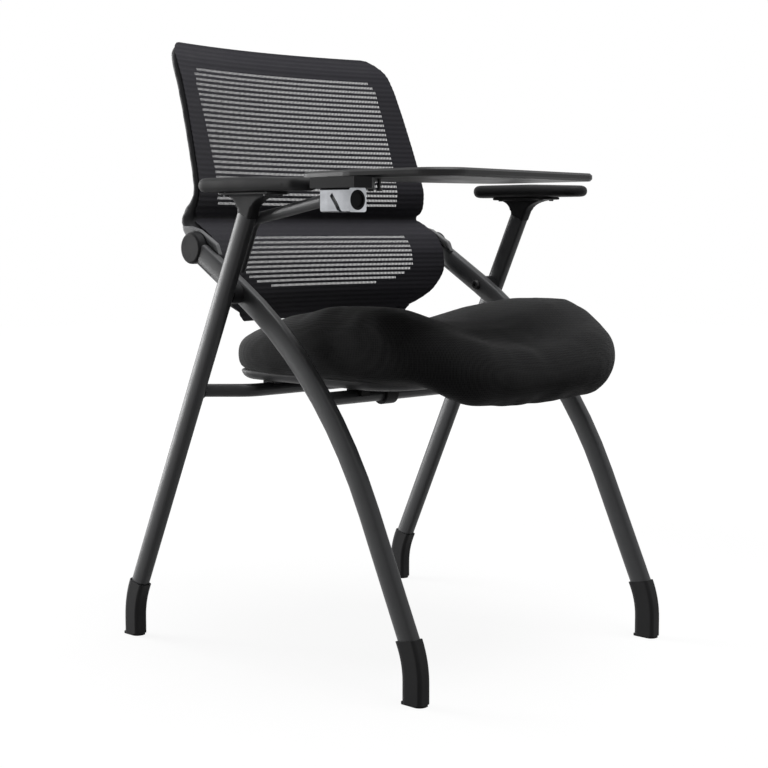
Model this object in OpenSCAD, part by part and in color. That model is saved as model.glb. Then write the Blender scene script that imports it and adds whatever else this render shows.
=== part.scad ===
// Folding chair with a padded seat, a mesh back, arm pads and a writing tablet on the sitter's right arm.
// X runs across the chair, the chair faces -Y and Z is up. The floor is at Z = 0, under the middle of the chair.

/* [Leg tubes] */
// Width of a leg tube, across the chair
leg_w = 18; // [14:1:22]
// Depth of a front leg tube, seen from the side
front_leg_d = 33.5; // [28:0.5:40]
// Depth of a rear leg tube, seen from the side
rear_leg_d = 31; // [28:1:38]
// Wall of the leg tubes
leg_wall = 1.5; // [1.2:0.1:2.5]
// Radius of the tube corners on the front side
leg_front_r = 3.5; // [2:0.5:6]
// Radius of the tube corners on the rear side
leg_rear_r = 8; // [5:0.5:8.5]
// Distance of the front legs' middle plane from the middle of the chair
front_leg_x = 252; // [248:1:262]
// Clear gap between a front leg and the rear leg beside it
leg_gap = 17; // [14:1:22]

/* [Front legs] */
// Upper end of a front leg, from the middle of the chair to the rear
front_top_y = 169; // [164:1:175]
// Height of the upper end of a front leg
front_top_z = 586.5; // [582:0.5:591]
// Corner that the large bend rounds, from the middle to the rear
elbow_y = -106; // [-114:0.5:-102]
// Height of that corner
elbow_z = 422.5; // [416.5:0.5:428.5]
// Radius of the large bend
elbow_r = 650; // [560:10:700]
// Slope of a front leg's lower run from the floor, in degrees
front_slope = 65; // [63:0.5:67]
// Place of the front feet
front_foot_y = -277; // [-289.5:0.5:-264.5]

/* [Rear legs] */
// Place of the fold pivot along the front legs' upper run
pivot_y = 63.5; // [56.5:1:70.5]
// Lean of the rear legs from upright, in degrees
rear_lean = 25; // [23:0.5:27]
// Place of the rear feet
rear_foot_y = 282.5; // [270.5:1:290.5]
// Height at which the rear leg tubes end, below the arm brackets
rear_top_z = 634; // [628:1:640]
// Radius of the bends above the feet
foot_bend_r = 120; // [100:5:140]

/* [Boots and glides] */
// Height of the boots' upper edge
boot_h = 86; // [76:1:96]
// Wall of the boots round the tube
boot_wall = 1.6; // [1:0.1:2.4]
// Clearance of the boots on the tube
boot_fit = 0.1; // [0.05:0.05:0.3]
// Thickness of the sole under the tube
boot_sole = 5; // [4:0.5:8]
// Thickness of the glides
glide_t = 3; // [2:0.5:5]
// How far a glide's lip stands out towards the middle of the chair
glide_lip = 5; // [2:0.5:8]

/* [Fold pivot] */
// Diameter of the pivot bolts
bolt_d = 10; // [8:0.5:12]
// Diameter of the pivot bolts' heads
bolt_head_d = 16; // [14:0.5:20]
// Height of the pivot bolts' heads
bolt_head_h = 4; // [3:0.5:6]
// Width across the flats of the bolts' sockets
bolt_hex = 6; // [4:1:7]
// Wall of the bushes in the front legs
bush_wall = 1.6; // [1:0.1:2.5]
// Diameter of the spacers between the legs
spacer_d = 28; // [22:1:30]
// Diameter of the threaded inserts in the rear legs
insert_d = 15; // [14:0.5:18]

/* [Cross tubes] */
// Diameter of the cross tubes
cross_d = 19; // [16:0.5:22]
// Wall of the cross tubes
cross_wall = 1.5; // [1.2:0.1:2.5]
// Height of the front cross tube's axis
front_cross_z = 384.5; // [378:0.5:390]
// Height of the rear cross tube's axis
rear_cross_z = 383; // [378:0.5:388]
// Place of the rear cross tube's middle run
rear_cross_y = 77.5; // [70.5:1:84.5]
// Bend radius of the rear cross tube
cross_bend_r = 40; // [30:1:50]

/* [Seat] */
// Half the width of the cushion
seat_half_w = 232; // [215:1:234]
// Rear end of the cushion
seat_rear_y = 172.5; // [164.5:1:180.5]
// Front end of the cushion
seat_front_y = -297.5; // [-307.5:1:-287.5]
// Height of the cushion's middle
seat_mid_z = 467; // [455:1:475]
// Rise of the side bolsters above the middle
bolster_rise = 34; // [20:1:40]
// Swell of the cushion towards its front
front_swell = 4; // [0:1:12]
// Fall of the cushion's top at its front edge
front_fall = 28; // [20:1:40]
// Fall of the cushion towards its rear
rear_sink = 30; // [20:1:34]
// Height of the joint between cushion and pan
seat_split_z = 410; // [406:1:416]
// Depth of the front roll below that joint
roll_drop = 33; // [25:1:45]
// Half the width of the pan
pan_half_w = 212; // [200:1:216]
// Rear end of the pan
pan_rear_y = 152; // [140:1:156]
// Front end of the pan
pan_front_y = -190; // [-196:1:-180]
// Thickness of the pan's deck
pan_deck = 6; // [4:0.5:9]
// Thickness of the pan's skirt and ribs
pan_wall = 4; // [3:0.5:6]
// Gap between the pan's lower edge and the cross tubes
pan_gap = 1.5; // [1:0.1:3]

/* [Seat fittings] */
// Place of the hinge clamps and hooks, from the middle
clamp_x = 128; // [110:1:140]
// Width of a hinge clamp or hook
clamp_w = 22; // [16:1:28]
// Wall of a clamp round its tube
clamp_wall = 5; // [4:0.5:7]
// Place of the saddles, from the middle
saddle_x = 182; // [170:1:184]
// Width of a saddle
saddle_w = 16; // [10:1:20]
// Radial clearance of the clamps on the front cross tube
clamp_fit = 0.06; // [0.03:0.01:0.1]
// Clearance between seat fittings and tubes that they rest on
rest_gap = 0.3; // [0.2:0.05:0.5]

/* [Arms] */
// Length of an arm pad
pad_l = 224; // [210:1:240]
// Width of an arm pad
pad_w = 50; // [44:1:54]
// Thickness of an arm pad
pad_t = 20.5; // [16:0.5:23]
// Height of the arm pads' upper face
pad_top_z = 685; // [683:0.5:687]
// Place of the arm pads' middle
pad_mid_y = -9.5; // [-15.5:1:-3.5]
// Length of an arm bracket's top plate
arm_plate_l = 124; // [110:1:140]
// Width of an arm bracket's top plate
arm_plate_w = 34; // [28:1:40]
// Thickness of an arm bracket's top plate
arm_plate_t = 4; // [3:0.5:6]
// Length of the bracket's spigot inside the leg tube
spigot_l = 34; // [20:1:50]
// Clearance round the spigots and end caps in the tubes
spigot_fit = 0.15; // [0.05:0.05:0.3]

/* [Back] */
// Width of the back frame's flat rim
rim_d = 19; // [15:0.5:22]
// Depth of the back frame's flat rim
rim_t = 12; // [9:0.5:13]
// Gap between the rim and the mesh panels in front of it
panel_gap = 0.6; // [0.4:0.1:0.8]
// How far the panels lie in front of the back's reference surface
panel_off = 9.8; // [9:0.1:11]
// How far the middle of the back lies behind its sides
back_hollow = 38; // [25:1:45]
// Half the width of the back at its top
back_top_w = 213; // [200:1:216]
// Half the width of the back just above the waist
back_low_w = 234; // [224:1:236]
// Height of the top of the back
back_top_z = 893; // [880:1:900]
// Height of the waist between the two panels
waist_z = 631; // [626:1:636]
// Place of the sides at the waist
waist_y = 204.5; // [198.5:1:210.5]
// Height of the bottom of the lower panel
lumbar_low_z = 486; // [478:1:492]
// Half the width of the lower panel
lumbar_w = 231; // [218:1:232]
// Place of the lower panel's sides
lumbar_y = 142.5; // [136.5:1:150.5]
// Thickness of the mesh panels
mesh_t = 2; // [1.5:0.1:3]
// Radius of the back's upper corners
top_corner = 36; // [30:1:46]
// Radius of the panels' corners at the waist
waist_corner = 14; // [10:1:18]
// Height of the back's lower corners
lumbar_corner_h = 82; // [60:1:90]
// Width of the back's lower corners
lumbar_corner_w = 150; // [110:1:160]
// Extra depth of the rim at the waist
waist_swell = 12; // [6:1:14]
// Reach of that extra depth above and below the waist
waist_swell_h = 26; // [20:1:30]
// Distance of a panel's hem from the waist line
hem_gap = 2; // [1:0.5:5]
// Closed border at the bottom of the upper panel
mesh_border_low = 17; // [12:1:24]
// Closed border at the top of the upper panel
mesh_border_high = 38; // [30:1:44]
// Closed border at the bottom of the lower panel
lumbar_border_low = 46; // [34:1:52]
// Closed border at the top of the lower panel
lumbar_border_high = 23; // [16:1:28]
// Rows of openings in the upper panel
upper_rows = 27; // [18:1:30]
// Rows of openings in the lower panel
lower_rows = 9; // [7:1:11]
// Open share of a row's height
row_open = 0.55; // [0.4:0.05:0.6]

/* [End hubs] */
// Diameter of the hubs on the front legs' upper ends
hub_d = 46; // [42:1:48]
// Width of the hubs
hub_w = 22; // [20:1:24]
// Thickness of the back brackets
bracket_t = 9; // [6:0.5:10]

/* [Tablet] */
// Thickness of the tablet board
board_t = 11; // [9:0.5:13]
// Height of the tablet board's upper face
board_top_z = 692; // [692:0.5:696]
// Width of the board's bevels
board_bevel = 3; // [2:0.5:4]
// Height of the holder between the swivel block and the board
holder_h = 14; // [12:0.5:16]
// Place of the swivel axis, from the middle towards the sitter's right
swivel_x = 285; // [283:0.5:287]
// Side of the swivel block
block_side = 31; // [29:0.5:32]
// Length of the swivel block
block_l = 54; // [50:1:60]
// Rear end of the swivel block
block_rear_y = -151.5; // [-159.5:1:-147.5]
// Radius of the block's long edges
block_edge_r = 4; // [2:0.5:6]
// Diameter of the tablet's support tube
arm_tube_d = 16; // [14:0.5:17]
// Smallest bend radius of the tablet's support tube
arm_tube_r = 28; // [24:1:36]
// Height of the support tube's lower end
arm_tube_low_z = 557; // [550:1:565]
// Height of the bend beside the rear leg
arm_tube_bend_z = 628; // [624:1:630]
// Diameter of the guide pin
pin_d = 5; // [4:0.5:6]
// Clearance between the guide pin and the sides of its slot
pin_fit = 0.25; // [0.1:0.05:0.4]
// Turn of the tablet when it is flipped up, in degrees
flip_turn = 90; // [80:1:90]
// Travel of the tablet along its axis while it is flipped up
flip_travel = 20; // [12:1:22]
// Wall of the bush between the tube and the block
sleeve_wall = 3; // [2:0.5:4]
// Radial clearance of the bush on the tube and in the block
sleeve_fit = 0.05; // [0.02:0.01:0.1]
// Diameter of the plug in the block's front face
plug_d = 26; // [24:0.5:27]
// Depth of the plug
plug_t = 5; // [3:0.5:8]

/* [Hidden] */
$fn = 64;
soft_fn = 32;
corner_steps = 6;
seam = 0.02;
seam_lap = 0.4;
leg_r_max = leg_w/2 - 0.5;
rear_leg_x = front_leg_x + leg_w + leg_gap;
board_low_z = board_top_z - board_t;
swivel_z = board_low_z - holder_h - block_side/2;

// Point of a straight run between a and b at the height z
function at_height(a, b, z) = a + (b - a)*(z - a.y)/(b.y - a.y);
function at_place(a, b, y) = a + (b - a)*(y - a.x)/(b.x - a.x);
function unit(v) = v/norm(v);
function smooth(t) = let(c = max(0, min(1, t))) c*c*(3 - 2*c);
function mix(a, b, t) = a + (b - a)*t;

// Points of the legs' middle lines, as [place, height]
front_top = [front_top_y, front_top_z];
elbow = [elbow_y, elbow_z];
tube_low_z = glide_t + boot_sole;
front_ankle = at_place(elbow, elbow - [cos(front_slope), sin(front_slope)], front_foot_y);
front_path = [front_top, elbow, front_ankle, [front_foot_y, tube_low_z]];
pivot = at_place(front_top, elbow, pivot_y);
rear_dir = [sin(rear_lean), -cos(rear_lean)];
rear_ankle = pivot + rear_dir*(rear_foot_y - pivot_y)/rear_dir.x;
rear_top = at_height(pivot, rear_ankle, rear_top_z);
rear_path = [rear_top, rear_ankle, [rear_foot_y, tube_low_z]];

// Middle of the large bend, and the place of the front cross tube on it
up_dir = unit(front_top - elbow);
down_dir = unit(front_ankle - elbow);
half_turn = (180 - acos(up_dir*down_dir))/2;
bend_middle = elbow + unit(up_dir + down_dir)*elbow_r/cos(half_turn);
front_cross_y = bend_middle.x - sqrt(pow(elbow_r, 2) - pow(front_cross_z - bend_middle.y, 2));
rear_cross_end_y = at_height(pivot, rear_ankle, rear_cross_z).x;

// A 2D section carried along a path with rounded corners. In the section x runs across the chair
// and y towards the front of a leg that is walked from its top. The first child is the section of the
// straight runs. The second, a hair slimmer, is that of the bends, which lap into the straight runs.
module bent_run(path, radii) {
  n = len(path);
  dirs = [for (i = [0:n-2]) unit(path[i+1] - path[i])];
  turn = [for (i = [0:n-1]) (i == 0 || i == n-1) ? 0 : acos(min(1, dirs[i-1]*dirs[i]))];
  cut = [for (i = [0:n-1]) turn[i] < 0.01 ? 0 : radii[i]*tan(turn[i]/2)];
  for (i = [0:n-2]) {
    a = path[i] + dirs[i]*cut[i];
    b = path[i+1] - dirs[i]*cut[i+1];
    frame_on(a, dirs[i]) linear_extrude(height = norm(b - a)) children(0);
  }
  for (i = [1:n-2]) if (turn[i] > 0.01) {
    a = dirs[i-1];
    b = dirs[i];
    middle = path[i] + unit(b - a)*radii[i]/cos(turn[i]/2);
    out = unit(path[i] - a*cut[i] - middle);
    side = cross(out, a);
    lap = seam_lap/radii[i]*180/PI;
    multmatrix([[out.x, a.x, side.x, middle.x],
                [out.y, a.y, side.y, middle.y],
                [out.z, a.z, side.z, middle.z],
                [0, 0, 0, 1]])
      rotate([0, 0, -lap]) rotate_extrude(angle = turn[i] + 2*lap)
        translate([radii[i], 0]) rotate(side.x < 0 ? 90 : -90) children(1);
  }
}

// Puts +Z along dir at the point a, with +X kept across the chair where dir allows it
module frame_on(a, dir) {
  across = abs(dir.x) > 0.99 ? [0, 1, 0] : [1, 0, 0];
  side = unit(across - dir*(dir*across));
  front = cross(dir, side);
  multmatrix([[side.x, front.x, dir.x, a.x],
              [side.y, front.y, dir.y, a.y],
              [side.z, front.z, dir.z, a.z],
              [0, 0, 0, 1]])
    children();
}

function in_plane(x, path) = [for (p = path) [x, p.x, p.y]];

// Quarter round of radius r about c, from the angle a
function quarter(c, r, a) = [for (i = [0:corner_steps])
  c + r*[cos(a + 90*i/corner_steps), sin(a + 90*i/corner_steps)]];

// Section of a leg tube, with its small corners on the front side
module leg_section(depth, grow = 0) {
  w = leg_w/2 + grow;
  d = depth/2 + grow;
  rf = max(0.5, leg_front_r + grow);
  rr = min(leg_r_max, leg_rear_r) + grow;
  polygon(concat(
    quarter([w - rf, d - rf], rf, 0),
    quarter([rf - w, d - rf], rf, 90),
    quarter([rr - w, rr - d], rr, 180),
    quarter([w - rr, rr - d], rr, 270)));
}

module leg_tube_section(depth, trim = 0) {
  difference() {
    leg_section(depth, -trim);
    leg_section(depth, trim - leg_wall);
  }
}

// Round bar of radius r along a path
module round_run(path, radii, r) {
  bent_run(path, radii) {
    polygon(ring_points(r));
    polygon(ring_points(r - seam));
  }
}

function ring_points(r) = [for (a = [0:15:345]) r*[cos(a), sin(a)]];

module front_leg(side) {
  color("dimgray") difference() {
    bent_run(in_plane(side*front_leg_x, front_path), [0, elbow_r, foot_bend_r, 0]) {
      leg_tube_section(front_leg_d);
      leg_tube_section(front_leg_d, seam);
    }
    pivot_hole(bolt_d + 2*bush_wall);
    translate([side*front_leg_x, 0, 0]) on_hub() cylinder(d = hub_d + 2*spigot_fit, h = 2*leg_w, center = true);
  }
}

module rear_leg(side) {
  color("dimgray") difference() {
    bent_run(in_plane(side*rear_leg_x, rear_path), [0, foot_bend_r, 0]) {
      leg_tube_section(rear_leg_d);
      leg_tube_section(rear_leg_d, seam);
    }
    translate([side*(rear_leg_x - leg_w/2), 0, 0]) pivot_hole(insert_d, 2*leg_wall + 2);
  }
}

// Hole on the fold axis, through the whole chair or over a length about the middle plane
module pivot_hole(d, l = 2*(front_leg_x + leg_w)) {
  translate([-l/2, pivot.x, pivot.y]) rotate([0, 90, 0]) cylinder(d = d, h = l);
}

module front_leg_right() front_leg(-1);
module front_leg_left() front_leg(1);
module rear_leg_right() rear_leg(-1);
module rear_leg_left() rear_leg(1);

// Boot on a leg's lower end: the grown leg below a slanting edge, less the tube itself
module boot(x, path, radii, depth, lean) {
  difference() {
    intersection() {
      bent_run(in_plane(x, concat([for (i = [0:len(path)-2]) path[i]], [[path[len(path)-1].x, glide_t]])), radii) {
          leg_section(depth, boot_wall);
          leg_section(depth, boot_wall - seam);
        }
      translate([x, path[len(path)-1].x, boot_h]) rotate([lean, 0, 0])
        translate([-leg_w, -100, -200]) cube([2*leg_w, 200, 200]);
    }
    bent_run(in_plane(x, path), radii) {
      leg_section(depth, boot_fit - seam);
      leg_section(depth, boot_fit);
    }
  }
}

module front_boots() {
  color("#262626") for (side = [-1, 1])
    boot(side*front_leg_x, front_path, [0, elbow_r, foot_bend_r, 0], front_leg_d, -12);
}

module rear_boots() {
  color("#262626") for (side = [-1, 1])
    boot(side*rear_leg_x, rear_path, [0, foot_bend_r, 0], rear_leg_d, 12);
}

// Glide under a boot, with a lip towards the middle of the chair
module glide(x, y, depth, inward) {
  translate([x, y, 0]) linear_extrude(height = glide_t) {
    leg_section(depth, boot_wall);
    translate([0, -inward*glide_lip]) leg_section(depth - 2*glide_lip, boot_wall);
  }
}

module front_glides() {
  color("#1c1c1c") for (side = [-1, 1]) glide(side*front_leg_x, front_foot_y, front_leg_d, -1);
}

module rear_glides() {
  color("#1c1c1c") for (side = [-1, 1]) glide(side*rear_leg_x, rear_foot_y, rear_leg_d, 1);
}

// Places children on the fold axis at both sides, with +Z pointing outwards from x
module on_pivot(x) {
  for (side = [-1, 1])
    translate([side*x, pivot.x, pivot.y]) rotate([0, side*90, 0]) children();
}

leg_inner_x = front_leg_x - leg_w/2;
leg_outer_x = front_leg_x + leg_w/2;
rear_inner_x = rear_leg_x - leg_w/2;
bush_flange_t = 1;
bolt_l = rear_inner_x + leg_w - leg_wall - leg_inner_x;

module pivot_bolts() {
  color("silver") on_pivot(leg_inner_x - bush_flange_t - rest_gap) difference() {
    union() {
      cylinder(d = bolt_d, h = bolt_l);
      translate([0, 0, -bolt_head_h/2]) cylinder(d = bolt_head_d, h = bolt_head_h/2);
      translate([0, 0, -bolt_head_h]) cylinder(d1 = bolt_head_d - 4, d2 = bolt_head_d, h = bolt_head_h/2);
    }
    translate([0, 0, -bolt_head_h - 0.01]) cylinder(d = bolt_hex/cos(30), h = 3, $fn = 6);
  }
}

module pivot_bushes() {
  color("#303030") on_pivot(leg_inner_x - bush_flange_t) difference() {
    union() {
      cylinder(d = bolt_head_d, h = bush_flange_t);
      cylinder(d = bolt_d + 2*bush_wall - 2*sleeve_fit, h = leg_w + bush_flange_t);
    }
    translate([0, 0, -1]) cylinder(d = bolt_d + 2*sleeve_fit, h = leg_w + 4);
  }
}

module pivot_spacers() {
  color("#262626") on_pivot(leg_outer_x + rest_gap) difference() {
    cylinder(d = spacer_d, h = leg_gap - rest_gap);
    translate([0, 0, -1]) cylinder(d = bolt_d + 2*sleeve_fit, h = leg_gap + 2);
  }
}

module pivot_inserts() {
  color("dimgray") on_pivot(rear_inner_x) difference() {
    cylinder(d = insert_d, h = leg_w - leg_wall - 0.2);
    translate([0, 0, -1]) cylinder(d = bolt_d + 2*sleeve_fit, h = leg_w + 2);
  }
}

module front_cross_tube() {
  path = [[-leg_inner_x, front_cross_y, front_cross_z], [leg_inner_x, front_cross_y, front_cross_z]];
  color("#3a3a3a") translate(path[0]) rotate([0, 90, 0])
    difference() {
      cylinder(d = cross_d, h = 2*leg_inner_x);
      translate([0, 0, -1]) cylinder(d = cross_d - 2*cross_wall, h = 2*leg_inner_x + 2);
    }
}

// Rear cross tube: a straight middle, and ends swept back to the rear legs
module rear_cross_tube() {
  sweep = rear_cross_end_y - rear_cross_y;
  end_x = rear_inner_x + cross_d;
  end_y = rear_cross_end_y + cross_d;
  path = [[-end_x, end_y, rear_cross_z], [sweep - rear_inner_x, rear_cross_y, rear_cross_z],
    [rear_inner_x - sweep, rear_cross_y, rear_cross_z], [end_x, end_y, rear_cross_z]];
  color("#3a3a3a") difference() {
    round_run(path, [0, cross_bend_r, cross_bend_r, 0], cross_d/2);
    round_run(path, [0, cross_bend_r, cross_bend_r, 0], cross_d/2 - cross_wall);
    for (x = [-rear_inner_x - 2*cross_d, rear_inner_x])
      translate([x, rear_cross_end_y - 2*cross_d, rear_cross_z - cross_d]) cube([2*cross_d, 4*cross_d, 2*cross_d]);
  }
}

// Places children on the axis of an end hub, across the chair
module on_hub() {
  translate([0, front_top.x, front_top.y]) rotate([0, 90, 0]) children();
}

// Hubs that close the front legs' upper ends, each with a spigot in its tube
module end_hubs() {
  edge = 4;
  r = hub_d/2;
  h = hub_w/2;
  color("#2b2b2b") for (side = [-1, 1]) {
    translate([side*front_leg_x, 0, 0]) on_hub() rotate_extrude()
      polygon(concat([[0, -h]],
        [for (a = [-90:18:0]) [r - edge + edge*cos(a), edge - h + edge*sin(a)]],
        [for (a = [0:18:90]) [r - edge + edge*cos(a), h - edge + edge*sin(a)]],
        [[0, h]]));
    difference() {
      bent_run(in_plane(side*front_leg_x, [front_top - up_dir*(r - 2), front_top - up_dir*(r + spigot_l)]), [0, 0])
        leg_section(front_leg_d, -leg_wall - spigot_fit);
      translate([side*front_leg_x, 0, 0]) on_hub() cylinder(d = hub_d - 2, h = leg_w, center = true);
    }
  }
}

// Brackets that stand on the hubs and hold the back frame between them at its waist
module back_brackets() {
  top = waist_z - rim_d/2 - 3;
  function leg_top(y) = [y, front_top.y + (y - front_top.x)*up_dir.y/up_dir.x
    + front_leg_d/2/up_dir.x + rest_gap];
  color("#6a6a6a") for (side = [-1, 1])
    difference() {
      translate([side*(lumbar_w + rim_d/2 + rest_gap + bracket_t/2), 0, 0])
        rotate([90, 0, 90]) translate([0, 0, -bracket_t/2]) linear_extrude(height = bracket_t)
          polygon([[waist_y - 17, top], [waist_y, top], [waist_y - 3, top - 8],
            [front_top.x + 16, front_top.y + 4], leg_top(front_top.x - 14), leg_top(front_top.x - 50),
            leg_top(front_top.x - 42) + [0, 12], [front_top.x - 4, front_top.y + hub_d/2 + 4]]);
      translate([side*front_leg_x, 0, 0]) on_hub() cylinder(d = hub_d + 2*spigot_fit, h = 2*hub_w, center = true);
    }
}

// Side view of the back: place of its side bars at each height
lumbar_line = [[0, 12], [0.24, 2], [0.45, 0], [0.627, 3], [0.761, 16], [0.845, 38]];
waist_line = [[0.915, -5], [1, 0]];
upper_line = [[0.045, -5], [0.09, -12], [0.16, -15], [0.27, -8], [0.423, 4], [0.611, 20], [0.777, 36],
  [0.89, 51], [1, 76]];
side_line = concat(
  [for (p = lumbar_line) [mix(lumbar_low_z, waist_z, p.x), lumbar_y + p.y]],
  [for (p = waist_line) [mix(lumbar_low_z, waist_z, p.x), waist_y + p.y]],
  [for (p = upper_line) [mix(waist_z, back_top_z, p.x), waist_y + p.y]]);
function side_y(z) = lookup(z, side_line);
function back_half_w(z) = z < waist_z ? lumbar_w
  : mix(back_low_w, back_top_w, (z - waist_z)/(back_top_z - waist_z));
function back_y(x, z) = side_y(z) + back_hollow*(1 - pow(x/lumbar_w, 2));
// Point at the distance off in front of the back's surface, and the surface's direction there
function back_normal(x, z) = unit([-2*back_hollow*x/pow(lumbar_w, 2), -1, (side_y(z + 1) - side_y(z - 1))/2]);
function on_back(x, z, off) = [x, back_y(x, z), z] + off*back_normal(x, z);

// Allowance of a panel's side at the height z, for a corner r = [width, height] that ends at the height end
function corner_in(z, end, r) = let(k = 1 - abs(end - z)/r.y) k <= 0 ? 0 : r.x*(1 - sqrt(1 - 0.98*k*k));

// Middle line of a rim: a closed outline from z0 to z1 with corners r0 below and r1 above
function rim_loop(z0, z1, r0, r1) = let(
  side_points = 14,
  run_points = 8,
  right = concat(
    [for (i = [1:run_points]) [(back_half_w(z0) - r0.x)*i/(run_points + 1), z0]],
    [for (a = [0:15:90]) let(z = z0 + r0.y*(1 - cos(a))) [back_half_w(z) - r0.x*(1 - sin(a)), z]],
    [for (i = [1:side_points]) let(z = mix(z0 + r0.y, z1 - r1.y, i/(side_points + 1))) [back_half_w(z), z]],
    [for (a = [0:15:90]) let(z = z1 - r1.y*(1 - sin(a))) [back_half_w(z) - r1.x*(1 - cos(a)), z]],
    [for (i = [run_points:-1:1]) [(back_half_w(z1) - r1.x)*i/(run_points + 1), z1]]))
  concat(right, [for (i = [len(right)-1:-1:0]) [-right[i].x, right[i].y]]);

// Closed flat bar with rounded edges along a loop of [x, z] points on the back
module rim_bar(loop) {
  n = len(loop);
  sides = 12;
  depths = [for (p = loop) rim_t + waist_swell*smooth(1 - abs(p.y - waist_z)/waist_swell_h)];
  points = [for (i = [0:n-1]) on_back(loop[i].x, loop[i].y, panel_off - panel_gap - depths[i]/2)];
  rings = [for (i = [0:n-1])
    let(t = unit(points[(i + 1) % n] - points[(i + n - 1) % n]),
        u = unit(cross(t, back_normal(loop[i].x, loop[i].y))), v = cross(t, u))
      for (k = [0:sides-1]) let(a = 360*(k + 0.5)/sides)
        points[i] + rim_d/2*u*soft_cos(a) + depths[i]/2*v*soft_cos(a - 90)];
  polyhedron(rings, [for (i = [0:n-1], k = [0:sides-1])
    let(a = i*sides, b = ((i + 1) % n)*sides, k2 = (k + 1) % sides)
      each [[a + k, b + k, b + k2], [a + k, b + k2, a + k2]]], convexity = 6);
}

function soft_cos(a) = sign(cos(a))*pow(abs(cos(a)), 0.45);
function round_corner(r) = [r, r];
lumbar_corner = [lumbar_corner_w, lumbar_corner_h];

module back_frame() {
  color("#2b2b2b") {
    rim_bar(rim_loop(waist_z + rim_d/6, back_top_z - rim_d/2,
      round_corner(waist_corner), round_corner(top_corner)));
    rim_bar(rim_loop(lumbar_low_z, waist_z - rim_d/5,
      lumbar_corner - [rim_d/2, rim_d/2], round_corner(waist_corner)));
  }
}

// Sheet with rows of openings. cols and rows hold the grid lines' places from 0 to 1, and shut tells
// for each column and row whether its cells stay closed. point(u, v) lies on the sheet's middle.
module net_sheet(front, rear, nu, nv, shut) {
  w = nu + 1;
  count = w*(nv + 1);
  function id(i, j, back) = back*count + j*w + i;
  function solid(i, j) = i >= 0 && j >= 0 && i < nu && j < nv && shut[j][i];
  faces = concat(
    [for (j = [0:nv-1], i = [0:nu-1]) if (solid(i, j)) each [
      [id(i, j, 0), id(i, j+1, 0), id(i+1, j+1, 0)], [id(i, j, 0), id(i+1, j+1, 0), id(i+1, j, 0)],
      [id(i, j, 1), id(i+1, j+1, 1), id(i, j+1, 1)], [id(i, j, 1), id(i+1, j, 1), id(i+1, j+1, 1)]]],
    [for (j = [0:nv-1], i = [0:nu-1]) if (solid(i, j)) each concat(
      solid(i-1, j) ? [] : wall(id(i, j, 0), id(i, j+1, 0), id(i, j, 1), id(i, j+1, 1)),
      solid(i+1, j) ? [] : wall(id(i+1, j+1, 0), id(i+1, j, 0), id(i+1, j+1, 1), id(i+1, j, 1)),
      solid(i, j-1) ? [] : wall(id(i+1, j, 0), id(i, j, 0), id(i+1, j, 1), id(i, j, 1)),
      solid(i, j+1) ? [] : wall(id(i, j+1, 0), id(i+1, j+1, 0), id(i, j+1, 1), id(i+1, j+1, 1)))]);
  polyhedron(concat(front, rear), faces, convexity = 8);
}

// Two triangles that close the edge from a to b, with a2 and b2 behind them
function wall(a, b, a2, b2) = [[b, a, a2], [b, a2, b2]];

// Mesh panel between the heights z0 and z1 in front of the frame, with its rows of openings between
// borders of the widths low and high, and corners of the radii r0 and r1
module mesh_panel(z0, z1, rows, side, low, high, r0, r1) {
  gaps = 5;
  strip = 0.12;
  border_lines = 4;
  cells = [for (k = [0:3*gaps]) k % 3 == 0];
  nu = len(cells);
  step = (1 - 2*side)/(gaps*2 + (gaps - 1)*strip);
  widths = [for (k = [0:nu-1]) k == 0 || k == nu-1 ? side : cells[k] ? strip*step : step];
  places = [for (k = [0:nu]) run_sum(widths, k)];
  pitch = (z1 - z0 - low - high)/rows;
  heights = concat(
    [for (k = [0:border_lines-1]) z0 + low*k/border_lines],
    [for (k = [0:rows-1]) each [z0 + low + k*pitch, z0 + low + (k + row_open)*pitch]],
    [for (k = [0:border_lines]) z1 - high + high*k/border_lines]);
  nv = len(heights) - 1;
  shut = [for (j = [0:nv-1]) [for (k = [0:nu-1])
    j < border_lines || j >= border_lines + 2*rows || (j - border_lines) % 2 == 1 || cells[k]]];
  function edge_w(z) = back_half_w(z) + rim_d/2 - corner_in(z, z1, r1) - corner_in(z, z0, r0);
  function spots(off) = [for (z = heights) for (u = places) on_back((2*u - 1)*edge_w(z), z, off)];
  net_sheet(spots(panel_off + mesh_t), spots(panel_off), nu, nv, shut);
}

function run_sum(v, k) = k == 0 ? 0 : v[k-1] + run_sum(v, k-1);

module back_mesh() {
  color("#1d1d22") mesh_panel(waist_z + hem_gap + 4, back_top_z - 3, upper_rows, 0.09,
    mesh_border_low, mesh_border_high, round_corner(waist_corner), round_corner(top_corner));
}

module lumbar_mesh() {
  color("#1d1d22") mesh_panel(lumbar_low_z - 6, waist_z - hem_gap - 2, lower_rows, 0.11,
    lumbar_border_low, lumbar_border_high, lumbar_corner, round_corner(waist_corner));
}

// Plate outline with rounded corners between x0, x1, y0 and y1
function rounded_box(x0, x1, y0, y1, r) = concat(
  quarter([x1 - r, y1 - r], r, 0), quarter([x0 + r, y1 - r], r, 90),
  quarter([x0 + r, y0 + r], r, 180), quarter([x1 - r, y0 + r], r, 270));

pan_low_z = front_cross_z + cross_d/2 + pan_gap;
deck_low_z = seat_split_z - pan_deck;
screw_d = 5;

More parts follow.
